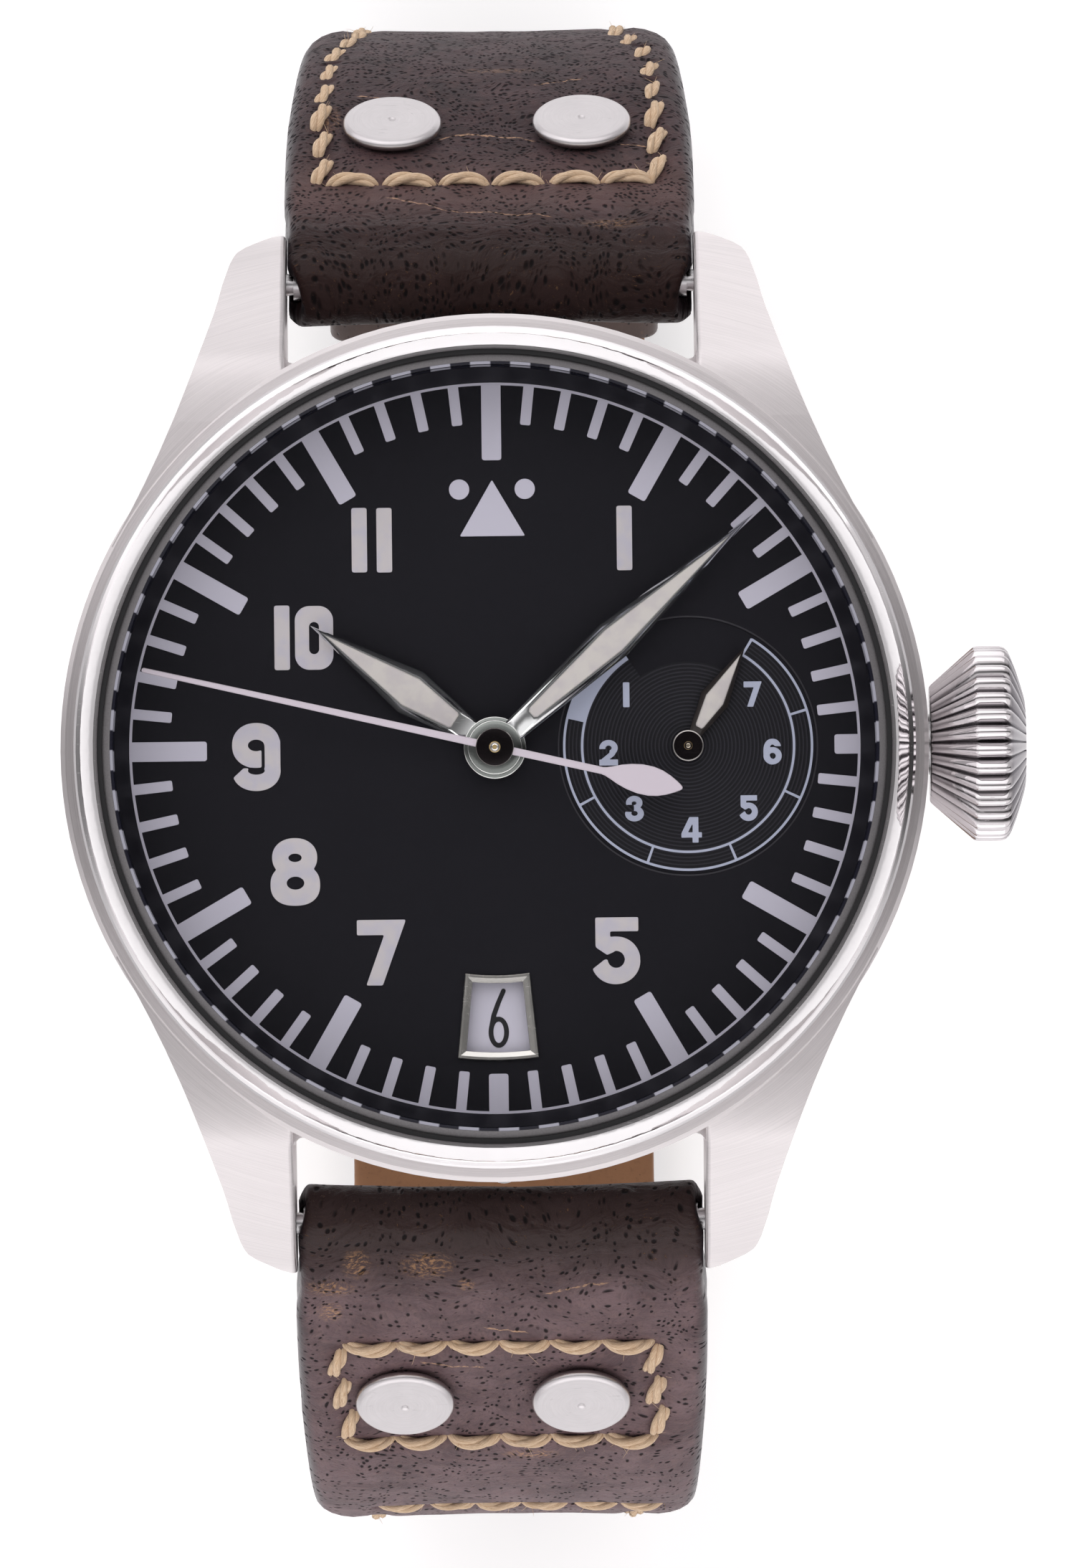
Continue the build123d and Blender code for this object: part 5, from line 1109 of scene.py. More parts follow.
def crown_mesh():
    prof = [(23.25, 1.64, 0.0), (23.25, 2.95, 0.02), (23.27, 3.08, 0.06), (23.36, 3.20, 0.09), (24.1, 3.85, 0.09), (24.9, 4.55, 0.09),
            (25.52, 5.09, 0.092), (25.66, 5.20, 0.094), (25.82, 5.235, 0.096), (26.5, 5.24, 0.098), (27.05, 5.23, 0.100), (27.28, 5.16, 0.108),
            (27.45, 5.00, 0.118), (27.60, 4.70, 0.130), (27.88, 4.0, 0.150), (28.12, 3.25, 0.165), (28.30, 2.62, 0.150), (28.36, 2.35, 0.07), (28.37, 2.1, 0.0),
            (28.37, 0.0, 0.0)]
    per = 10
    n = LOBES * per
    verts, faces, rings_, uv = [], [], [], []
    for x, r, d in prof:
        if r == 0.0:
            rings_.append([len(verts)])
            verts.append((x, 0.0, CROWN_Z))
            continue
        rings_.append(list(range(len(verts), len(verts) + n)))
        for i in range(n):
            a = 2 * math.pi * i / n
            f = abs(math.sin(LOBES * a / 2))
            f = f ** 0.85 if f > 1e-6 else 0.0
            rr = r * (1 - d * (1 - f))
            verts.append((x, rr * math.cos(a), CROWN_Z + rr * math.sin(a)))
    for a, b in zip(rings_[:-1], rings_[1:]):
        for i in range(n):
            j = (i + 1) % n
            if len(b) == 1:
                faces.append((a[i], a[j], b[0]))
            else:
                faces.append((a[i], a[j], b[j], b[i]))
    # the recess for the tube
    inner = [(23.25, 1.64), (25.0, 1.62), (25.0, 0.52)]
    k0 = rings_[0]
    last = k0
    for x, r in inner[1:]:
        ring = list(range(len(verts), len(verts) + n))
        for i in range(n):
            a = 2 * math.pi * i / n
            verts.append((x, r * math.cos(a), CROWN_Z + r * math.sin(a)))
        for i in range(n):
            j = (i + 1) % n
            faces.append((last[i], ring[i], ring[j], last[j]))
        last = ring
    c = len(verts)
    verts.append((25.0, 0.0, CROWN_Z))
    for i in range(n):
        faces.append((last[i], c, last[(i + 1) % n]))
    return verts, faces


v, f = crown_mesh()
crown_ob = put_mesh("crown_fluted", v, f, "crown_stem", m_crown, sharp=32, slot="polished_steel", uv=[(p[1], p[2]) for p in v])
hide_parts("crown")

# ============================================================ strap
FLOOR = -62.0
W_LUG, W0, W2 = 21.8, 22.3, 18.0
BAR_Y, BAR_Z = 25.3, 3.0


class Path:
    """Middle line of a strap half: runs and arcs, y outward, z up, angle in degrees below the horizontal."""

    def __init__(self, segs, y0, z0):
        self.segs = []
        y, z, s = y0, z0, 0.0
        for length, a0, a1 in segs:
            self.segs.append((s, length, a0, a1, y, z))
            y, z = self.step(y, z, length, a0, a1, length)
            s += length
        self.total = s

    @staticmethod
    def step(y, z, length, a0, a1, d):
        if abs(a1 - a0) < 1e-6:
            return y + d * math.cos(math.radians(a0)), z - d * math.sin(math.radians(a0))
        k = math.radians(a1 - a0) / length
        t0, t1 = math.radians(a0), math.radians(a0) + k * d
        return y + (math.sin(t1) - math.sin(t0)) / k, z + (math.cos(t1) - math.cos(t0)) / k

    def at(self, s):
        for s0, length, a0, a1, y, z in reversed(self.segs):
            if s >= s0 - 1e-9:
                d = s - s0
                yy, zz = self.step(y, z, length, a0, a1, d)
                return yy, zz, a0 + (a1 - a0) * d / length
        s0, length, a0, a1, y, z = self.segs[0]
        return y + s * math.cos(math.radians(a0)), z - s * math.sin(math.radians(a0)), a0


def arc(r, a0, a1):
    return (r * math.radians(a1 - a0), a0, a1)


def build_path(first, t_end, lift):
    p = Path(first, BAR_Y, BAR_Z)
    end = p.at(p.total)
    target = FLOOR + lift + t_end / 2
    leg = (end[1] - target) - 20.0
    segs = first + [(leg, 90, 90), arc(20.0, 90, 180)]
    return segs, leg, p.total


segs12, leg12, s12_leg0 = build_path([(3.0, 46.6, 55.0), (10.95, 55.0, 55.6), arc(40.3, 55.6, 90)], 3.2, 1.42)
P12 = Path(segs12, BAR_Y, BAR_Z)
segs6, leg6, s6_leg0 = build_path([(7.16, 40.7, 51.9), (8.05, 51.9, 51.9), arc(27.43, 51.9, 90)], 2.6, 0.0)
q6 = Path(segs6, BAR_Y, BAR_Z)
tail = q6.at(q6.total)[0] + 1.6
P6 = Path(segs6 + [(tail, 180, 180)], BAR_Y, BAR_Z)


def smooth01(t):
    t = min(1.0, max(0.0, t))
    return t * t * (3 - 2 * t)


SUNK = 0.26


class Half:
    """One strap half: its middle line, widths, thickness and outer surface."""

    def __init__(self, path, my, t0, t1, nose, leg0):
        self.p, self.my, self.t0, self.t1, self.nose, self.leg0 = path, my, t0, t1, nose, leg0
        self.total = path.total

    def thick(self, s):
        full = self.t0 + (self.t1 - self.t0) * min(1.0, max(0.0, s) / 40.0)
        return min(full, 2 * (self.nose + 0.12 * max(0.0, s)))

    def width(self, s):
        flare = smooth01((s - 3.2) / 2.6)
        return W_LUG + (W0 - W_LUG) * flare + (W2 - W0) * max(0.0, min(1.0, (s - 15.0) / (0.75 * self.total - 15.0)))

    def frame(self, s):
        y, z, a = self.p.at(s)
        a = math.radians(a)
        n = Vector((0, self.my * math.sin(a), math.cos(a)))
        t = Vector((0, self.my * math.cos(a), -math.sin(a)))
        return Vector((0, self.my * y, z)), n, t

    def corner(self, s):
        """Lateral and depth radius of the rounded outer corner; larger where the strap turns down."""
        k = smooth01((s - 6.0) / 14.0) * (1 - 0.75 * smooth01((s - self.leg0 - 8) / 14.0))
        near = smooth01((s - 0.2) / 2.2)
        return 0.42 + 0.53 * near + 1.75 * k, 0.36 + 0.39 * near + 1.25 * k

    def drop(self, s, x):
        """How far the outer face lies below its middle at x."""
        w = self.width(s) / 2
        rx, rn = self.corner(s)
        d = abs(x) - (w - rx)
        out = 0.0
        if d > 0:
            out = rn * (1 - math.sqrt(max(0.0, 1 - min(1.0, d / rx) ** 2)))
        # slightly proud towards the edges, sunk in the middle
        out += SUNK * (1 - (min(abs(x), w) / w) ** 2) * smooth01((s - 3) / 10.0) * (1 - smooth01((s - self.leg0 - 20) / 15.0))
        return out

    def relief(self, s, x):
        """Small soft relief of the outer face: faint noise, and creases near the bar."""
        h = 0.0
        p = Vector((x * 0.45 + 20 * self.my, s * 0.9, 3.0))
        h += 0.05 * noise.noise(p * 0.9)
        near = 1 - smooth01((s - 1.0) / 6.5)
        if near > 0:
            h += near * 0.10 * noise.noise(Vector((x * 0.14, s * 0.85 + 0.25 * noise.noise(Vector((x * 0.3, s, 7.7))), 5.0 * self.my)))
            h += near * 0.05 * noise.noise(Vector((x * 0.5, s * 1.9, 9.0)))
        return h


H12 = Half(P12, 1, 4.8, 3.2, 2.15, s12_leg0)
H6 = Half(P6, -1, 4.4, 2.6, 1.85, s6_leg0)
RIV = {12: (12.8, (-5.3, 5.1)), 6: (12.7, (-5.38, 4.26))}
RIVET_R = 2.7


def stitch_list(k):
    """(s, x, along) of every stitch on the outer face."""
    out = []
    if k == 12:
        for x in (-7.45, -4.36, -1.34, 1.55, 4.68, 7.54):
            out.append((6.8, x, False))
        left = [-9.1, -9.13, -9.25, -9.07, -8.84, -8.55, -7.86, -7.3]
        right = [9.14, 9.17, 9.09, 9.03, 8.92, 8.55, 7.86, 7.2]
        for side, sx in ((left, -1), (right, 1)):
            i = 0
            while 8.0 + 3.15 * i < H12.total - 22:
                out.append((8.0 + 3.15 * i, side[i] if i < len(side) else sx * 7.2, True))
                i += 1
    else:
        for row, xs in ((7.8, (-7.17, -4.41, -1.57, 1.19, 3.99, 6.82)), (16.9, (-7.38, -4.59, -1.65, 1.21, 4.0, 6.98)), (27.0, (-5.8, -2.9, -0.45, 2.2, 5.1, 7.6))):
            for x in xs:
                out.append((row, x, False))
        for s, xl, xr in ((9.3, -9.0, 8.2), (12.3, -8.83, 8.33), (15.2, -8.45, 8.53)):
            out.append((s, xl, True))
            out.append((s, xr, True))
        for sx in (-1, 1):
            s = 31.5
            while s < H6.total - tail - 20.0 * math.radians(16):
                out.append((s, sx * 7.2, True))
                s += 3.0
    return out


STITCHES = {12: stitch_list(12), 6: stitch_list(6)}


def stitch_pull(k, s, x):
    """The thread pulls the leather in along its line, most at the holes."""
    d = 0.0
    for ss, sx, along in STITCHES[k]:
        ds, dx = s - ss, x - sx
        if abs(ds) > 2.6 or abs(dx) > 2.6:
            continue
        a, c = (ds, dx) if along else (dx, ds)
        over = max(0.0, abs(a) - 0.9)
        d = max(d, 0.18 * math.exp(-(c * c) / 0.40 - over * over * 1.2))
        hole = (abs(a) - 1.45)
        d = max(d, 0.34 * math.exp(-(c * c) / 0.05 - hole * hole / 0.05))
    rs, rxs = RIV[k]
    for sx in rxs:
        r = math.hypot(s - rs, x - sx)
        if r < 4.2:
            d = max(d, 0.13 * (1 - smooth01((r - 2.2) / 1.5)))
    return d


def surf(H, k, s, x, out=0.0):
    """Point on the outer face, its normal and the way along the strap."""
    c, n, t = H.frame(s)
    h = H.thick(s) / 2 - H.drop(s, x) + H.relief(s, x) * 0.5
    return c + Vector((x, 0, 0)) + n * (h + out), n, t


def outer_leather(k, H, end_loop):
    """The outer leather: from its inner end round the spring bar and along the outside, as one closed skin."""
    rows, uvs = [], []
    my = H.my
    stations = []
    t0 = H.thick(0.0) / 2
    # inner leg from s = 9 to the bar
    for i in range(18):
        s = 9.0 - 9.0 * i / 18
        c, n, t = H.frame(s)
        hh_ = H.thick(s) / 2
        near_bar = math.sqrt(max(0.0, 0.98 ** 2 - s * s))
        stations.append(("in", s, c - n * max(0.02, near_bar), c - n * hh_, -s - 3.6))
    # round the bar: from the inner face to the outer face through the nose
    c, n, t = H.frame(0.0)
    steps = 26
    for i in range(steps + 1):
        a = math.pi * i / steps
        dirv = -n * math.cos(a) - t * math.sin(a)
        r_out = t0
        r_in = 0.98
        stations.append(("nose", 0.0, c + dirv * r_in, c + dirv * r_out, -3.6 + 3.6 * i / steps))
    n_out0 = len(stations)
    # outer leg
    s_end = H.total
    s = 0.22
    while s < s_end - 0.02:
        c, n, t = H.frame(s)
        hh_ = H.thick(s) / 2
        lo = 0.02 if s < 9.03 else -hh_ + 1.12
        lo = max(lo, math.sqrt(max(0.0, 0.98 ** 2 - s * s)))
        if end_loop:
            lo = max(lo, math.sqrt(max(0.0, 0.82 ** 2 - (s_end - s) ** 2)))
        stations.append(("out", s, c + n * lo, c + n * hh_, s))
        s += 0.24 if s < 40 else 0.42
    if end_loop:
        # wraps the buckle bar and ends against the lining
        c, n, t = H.frame(s_end)
        for i in range(15):
            a = math.pi * i / 14
            dirv = n * math.cos(a) + t * math.sin(a)
            stations.append(("wrap", s_end, c + dirv * 0.82, c + dirv * 1.6, s_end + 2.0 * i / 14))
        for i in range(1, 8):
            s = s_end - 2.9 * i / 7
            c, n, t = H.frame(s)
            near_bar = math.sqrt(max(0.0, 0.82 ** 2 - (s_end - s) ** 2))
            stations.append(("back", s, c - n * max(0.55, near_bar), c - n * 1.6, s_end + 2.0 + 2.9 * i / 7))
    # cross-section: bottom corners square, outer corners rounded, many points across the face
    K_face, K_c = 66, 7
    cols = None
    for kind, s, p_in, p_out, vcoord in stations:
        w = H.width(s) / 2
        rx, rn = H.corner(s if kind == "out" else 0.0)
        if kind == "nose":
            tipped = max(0.0, math.sin(math.pi * min(1.0, max(0.0, (vcoord + 3.6) / 3.6))) - 0.24) / 0.76
            w -= (0.75 if k == 12 else 0.42) * tipped
        d = p_out - p_in
        thick = d.length
        n = d.normalized()
        rn = min(rn, thick * 0.82)
        if kind == "nose":
            rx, rn = 0.42, 0.36
        row, uvr = [], []
        xs = []
        for j in range(K_c):
            a = math.pi / 2 * j / (K_c - 1)
            xs.append((-(w - rx) - rx * math.cos(a), thick - rn + rn * math.sin(a)))
        for j in range(1, K_face):
            xs.append((-(w - rx) + 2 * (w - rx) * j / K_face, thick))
        xs += [(-q, h) for q, h in xs[K_c - 1::-1]]
        mid = min(thick * 0.35, (thick - rn) * 0.8)
        side = [(-w, min(0.10, mid * 0.5)), (-w, mid)]
        ring = [(-w + 0.10, 0.0)] + side + xs + [(w, mid), (w, min(0.10, mid * 0.5)), (w - 0.10, 0.0)]
        under = [(w - 2 * w * j / 12, 0.0) for j in range(1, 12)]
        ring = ring + [(q, 0.0) for q, _ in under if abs(q) < w - 0.12]
        for q, h in ring:
            top = smooth01((h / thick - 0.55) / 0.45)
            off = 0.0
            if kind in ("out", "nose", "wrap"):
                fade = 1.0 if kind == "out" else 0.6
                off += H.relief(s if kind == "out" else vcoord, q) * top * fade
                if kind == "out":
                    w_mid = SUNK * (1 - (min(abs(q), w) / w) ** 2) * smooth01((s - 3) / 10.0) * (1 - smooth01((s - H.leg0 - 20) / 15.0))
                    off -= w_mid * top
                    off -= stitch_pull(k, s, q) * top
            if kind == "nose":
                # the fold is a little fuller at its two ends
                off += (0.20 if k == 12 else 0.34) * (min(abs(q), 10.4) / 10.4) ** 2 * math.sin(math.pi * min(1.0, max(0.0, (vcoord + 3.6) / 3.6))) * top
            bulge = 0.12 * math.sin(math.pi * min(1.0, h / thick)) if abs(q) > w - 0.05 else 0.0
            x = q + (bulge if q > 0 else -bulge) - (0.12 if q > 0 else -0.12) * (abs(q) > w - 0.05)
            p = p_in + n * (h + off) + Vector((x, 0, 0))
            row.append(tuple(p))
            uvr.append((q, vcoord))
        rows.append(row)
        uvs += uvr
    v, f = bridge(rows)
    n = len(rows[0])
    # end caps
    f.append(tuple(range(n))[::-1])
    f.append(tuple(range(len(v) - n, len(v))))
    return v, f, uvs


def cutter_box(name, lo, hi):
    me = bpy.data.meshes.new(name)
    bm = bmesh.new()
    bmesh.ops.create_cube(bm, size=1.0)
    for p in bm.verts:
        p.co = Vector([(lo[i] + hi[i]) / 2 + p.co[i] * (hi[i] - lo[i]) for i in range(3)]) * MM
    bm.to_mesh(me)
    bm.free()
    ob = bpy.data.objects.new(name, me)
    scene.collection.objects.link(ob)
    return ob


def cutter_tube(name, centre, n, r, length, seg=36):
    u = Vector((1, 0, 0))
    w = n.cross(u)
    v, f, uv = lathe([(0, -length / 2), (r, -length / 2), (r, length / 2), (0, length / 2)], seg, centre, (u, w, n))
    return put_mesh(name, v, f, None, [], flip_check=True)


def carve(ob, cutters):
    """Subtracts the cutters and removes them."""
    for c in cutters:
        m = ob.modifiers.new("carve", "BOOLEAN")
        m.operation = "DIFFERENCE"
        m.solver = "EXACT"
        m.object = c
        bpy.context.view_layer.update()
        dg = bpy.context.evaluated_depsgraph_get()
        new = bpy.data.meshes.new_from_object(ob.evaluated_get(dg), preserve_all_data_layers=True, depsgraph=dg)
        ob.modifiers.clear()
        ob.data = new
        me = c.data
        bpy.data.objects.remove(c)
        bpy.data.meshes.remove(me)


# the 12 half's copy is painted darker as shade; both copies carry painted fold shade
m_leather12_shaded = leather("leather_dark_calf_12_painted_shade", H12.total, False)
m_leather6 = leather("leather_dark_calf_6_painted_fold_shade", H6.total, True)


def hole_cutter(H, s, r, x, i, length=9.0):
    c, n, t = H.frame(s)
    return cutter_tube("cut_hole_%d" % i, tuple(c + Vector((x, 0, 0))), n, r, length)


v, f, uvs = outer_leather(12, H12, True)
strap12 = put_mesh("strap_12_leather", v, f, None, m_leather12_shaded, uv=uvs)
be_y, be_z, _ = P12.at(P12.total)
carve(strap12, [cutter_box("cut_slot", (-1.3, be_y - 5.5, FLOOR - 1), (1.3, be_y + 3.5, FLOOR + 9))])
v, f, uvs = outer_leather(6, H6, False)
strap6 = put_mesh("strap_6_leather", v, f, None, m_leather6, uv=uvs)


def tip_cutter(name):
    """Everything outside the pointed round tip, as a plate with a curved edge."""
    w2 = H6.width(H6.total)
    ty = -P6.at(P6.total)[0]
    half_w = w2 / 2 + 0.2
    # circle through (-half_w, ty - 9), (0, ty), (half_w, ty - 9)
    rr = (half_w ** 2 + 81.0) / 18.0
    cy = ty - rr
    a0 = math.atan2(9.0 - 0 + (ty - 9.0 - cy) - 9.0, half_w)
    pts = []
    for i in range(41):
        a = a0 + (math.pi - 2 * a0) * i / 40
        pts.append((rr * math.cos(a), cy + rr * math.sin(a)))
    loop = pts + [(-half_w - 4, pts[-1][1]), (-half_w - 4, ty + 5), (half_w + 4, ty + 5), (half_w + 4, pts[0][1])]
    if area_of(loop) < 0:
        loop = loop[::-1]
    v, f = plate([loop], FLOOR - 1, FLOOR + 5)
    return put_mesh(name, v, f, None, [])


holes6 = [hole_cutter(H6, H6.total - 13.0 - 6.0 * i, 0.95, 0.0, i) for i in range(7)]
carve(strap6, [tip_cutter("cut_tip")] + holes6)


def finish_part(ob, body, node, sharp=48):
    me = ob.data
    me.polygons.foreach_set("use_smooth", [True] * len(me.polygons))
    me.set_sharp_from_angle(angle=math.radians(sharp))
    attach(ob, body)
    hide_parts(node)
    return ob


finish_part(strap12, "strap_half_12", "strap_12")
finish_part(strap6, "strap_half_6", "strap_6")


def lining_mesh(k, H, end):
    rows, uvs = [], []
    s = 9.05
    stations = []
    while s < end - 0.01:
        stations.append(s)
        s += 0.8
    stations.append(end)
    for s in stations:
        c, n, t = H.frame(s)
        hh_ = H.thick(s) / 2
        w = H.width(s) / 2 - 0.04
        lo, hi = -hh_, -hh_ + 1.1
        ring = [(-w + 0.30, lo), (-w + 0.10, lo + 0.08), (-w, lo + 0.32), (-w, hi - 0.05), (-w + 0.05, hi)]
        ring += [(-w + 2 * w * j / 12, hi) for j in range(1, 12)]
        ring += [(w - 0.05, hi), (w, hi - 0.05), (w, lo + 0.32), (w - 0.10, lo + 0.08), (w - 0.30, lo)]
        ring += [(w - 2 * w * j / 24, lo) for j in range(1, 24)]
        row = []
        for q, h in ring:
            o = 0.03 * noise.noise(Vector((q * 0.6, s * 0.5, 21.0 * H.my))) if h == lo else 0.0
            p = c + n * (h + o) + Vector((q, 0, 0))
            row.append(tuple(p))
            uvs.append((q, s))
        rows.append(row)
    v, f = bridge(rows)
    n = len(rows[0])
    f.append(tuple(range(n))[::-1])
    f.append(tuple(range(len(v) - n, len(v))))
    return v, f, uvs


v, f, uvs = lining_mesh(12, H12, H12.total - 3.0)
lin12 = put_mesh("strap_12_lining_leather", v, f, None, m_lining, uv=uvs)
carve(lin12, [cutter_box("cut_slot_lining", (-1.3, be_y - 5.5, FLOOR - 1), (1.3, be_y + 3.5, FLOOR + 9))])
finish_part(lin12, "strap_half_12", "strap_12_lining")
v, f, uvs = lining_mesh(6, H6, H6.total)
lin6 = put_mesh("strap_6_lining_leather", v, f, None, m_lining, uv=uvs)
holes6 = [hole_cutter(H6, H6.total - 13.0 - 6.0 * i, 0.95, 0.0, i + 20) for i in range(7)]
carve(lin6, [tip_cutter("cut_tip_lining")] + holes6)
finish_part(lin6, "strap_half_6", "strap_6_lining")

# ============================================================ rivets
def rivets(k, H, body, node):
    rs, rxs = RIV[k]
    b = Bag()
    for sx in rxs:
        c, n, t = H.frame(rs)
        u = Vector((1, 0, 0))
        w = n.cross(u)
        o = c + Vector((sx, 0, 0))
        h = H.thick(rs) / 2 + 0.0
        prof = [(0.0, h + 0.455), (0.09, h + 0.455), (0.15, h + 0.475), (0.21, h + 0.525), (0.27, h + 0.535), (0.34, h + 0.52), (0.42, h + 0.525), (0.9, h + 0.53), (1.6, h + 0.54), (2.15, h + 0.55),
                (2.36, h + 0.545), (2.46, h + 0.525), (2.56, h + 0.47), (2.65, h + 0.38), (2.70, h + 0.26), (2.70, h + 0.15), (2.67, h + 0.07), (2.62, h + 0.0), (1.10, h + 0.0), (1.10, -h - 0.1), (2.1, -h - 0.12),
                (2.18, -h - 0.20), (2.2, -h - 0.32), (2.12, -h - 0.44), (1.9, -h - 0.50), (0.5, -h - 0.52), (0.0, -h - 0.52)]
        b.add(*lathe(prof, 80, tuple(o), (u, w, n)))
    ob = b.make("rivets_%d_turned" % k, body, m_rivet, sharp=45, slot="rivet_steel")
    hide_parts(node)
    return ob


rivets(12, H12, "strap_half_12", "rivets_12")
rivets(6, H6, "strap_half_6", "rivets_6")


# ============================================================ thread
def tube(points, radii, sides, phase=0.0, squash=1.0, up=None):
    """A closed tube along points; radii one per point."""
    verts, faces, uv = [], [], []
    n = len(points)
    length = 0.0
    prev = None
    for i, p in enumerate(points):
        a = points[max(0, i - 1)]
        b = points[min(n - 1, i + 1)]
        t = (b - a).normalized()
        ref = up if up is not None else Vector((0, 0, 1))
        if abs(t.dot(ref)) > 0.97:
            ref = Vector((1, 0, 0)) if abs(t.x) < 0.9 else Vector((0, 1, 0))
        side = t.cross(ref).normalized()
        nn = side.cross(t).normalized()
        if i:
            length += (p - points[i - 1]).length
        for j in range(sides):
            q = 2 * math.pi * j / sides + phase
            verts.append(tuple(p + side * (radii[i] * math.cos(q)) + nn * (radii[i] * squash * math.sin(q))))
            uv.append((radii[i] * q, length))
    for i in range(n - 1):
        for j in range(sides):
            k = (j + 1) % sides
            faces.append((i * sides + j, i * sides + k, (i + 1) * sides + k, (i + 1) * sides + j))
    faces.append(tuple(range(sides))[::-1])
    faces.append(tuple(range((n - 1) * sides, n * sides)))
    return verts, faces, uv


def stitching(k, H, body, node):
    b = Bag()
    rng = random.Random(100 + k)
    for s, x, along in STITCHES[k]:
        if along:
            length = (2.66 if k == 12 else 2.50) + rng.uniform(-0.08, 0.10)
            lean = (0.26 if k == 12 else -0.24) + rng.uniform(-0.06, 0.06)
            bow = rng.uniform(-0.05, 0.05)
        else:
            length = (2.62 if k == 12 else 2.78) + rng.uniform(-0.06, 0.08)
            lean = (-0.03 if k == 12 else 0.02) + rng.uniform(-0.03, 0.03)
            bow = 0.30 + rng.uniform(-0.04, 0.06)
        steps = 18
        fat = rng.uniform(0.94, 1.07)
        far = 0.24 if (k == 12 and s > 16.5) or (k == 6 and s > 24.0) else 0.0
        centre, radius = [], []
        for i in range(steps + 1):
            f = i / steps
            a = (f - 0.5) * length
            lift = (0.12 if along else 0.17) * math.sin(math.pi * f) ** 0.55 - 0.46 * (abs(2 * f - 1) ** 5) - far
            cross = lean * a + bow * (math.sin(math.pi * f) - 0.5)
            ss, xx = (s + a, x + cross) if along else (s + cross, x + a)
            base, n, t = surf(H, k, max(0.4, ss), xx)
            pull = stitch_pull(k, ss, xx)
            centre.append(base + n * (lift + 0.03 - pull * 0.6))
            radius.append((0.55 + 0.45 * math.sin(math.pi * min(1.0, max(0.0, f))) ** 0.42) * fat)
        plies = 3
        twist0 = rng.uniform(0, math.tau)
        for p in range(plies):
            pts, rad = [], []
            for i, c in enumerate(centre):
                f = i / steps
                a = centre[max(0, i - 1)]
                d = centre[min(steps, i + 1)]
                t = (d - a).normalized()
                _, n, _ = surf(H, k, s, x)
                side = t.cross(n).normalized()
                up = side.cross(t).normalized()
                ang = twist0 + math.tau * (p / plies + 0.50 * f)
                rr = 0.190 * radius[i]
                pts.append(c + side * (rr * 1.15 * math.cos(ang)) + up * (rr * 0.80 * math.sin(ang)))
                rad.append(0.235 * radius[i] * (0.9 + 0.1 * math.sin(ang)))
            b.add(*tube(pts, rad, 8, twist0 + p))
        # loose fibres by the holes
        for q in range(3):
            f0 = rng.choice((0.03, 0.97, rng.uniform(0.2, 0.8)))
            i0 = int(f0 * steps)
            c = centre[i0]
            _, n, t = surf(H, k, s, x)
            d = Vector((rng.uniform(-1, 1), 0, 0)) + t * rng.uniform(-1, 1) + n * rng.uniform(0.25, 0.9)
            d.normalize()
            curl = Vector((rng.uniform(-1, 1), rng.uniform(-1, 1), rng.uniform(-0.4, 0.6)))
            L = rng.uniform(0.35, 0.85)
            pts = [c + n * 0.18 + d * (L * j / 5) + curl * (0.25 * L * (j / 5) ** 2) for j in range(6)]
            b.add(*tube(pts, [0.016 * (1 - 0.12 * j) for j in range(6)], 4))
    ob = b.make("stitching_%d_thread" % k, body, m_thread, sharp=70, slot="tan_thread", flip_check=True)
    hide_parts(node)
    return ob


stitching(12, H12, "strap_half_12", "stitching_12")
stitching(6, H6, "strap_half_6", "stitching_6")


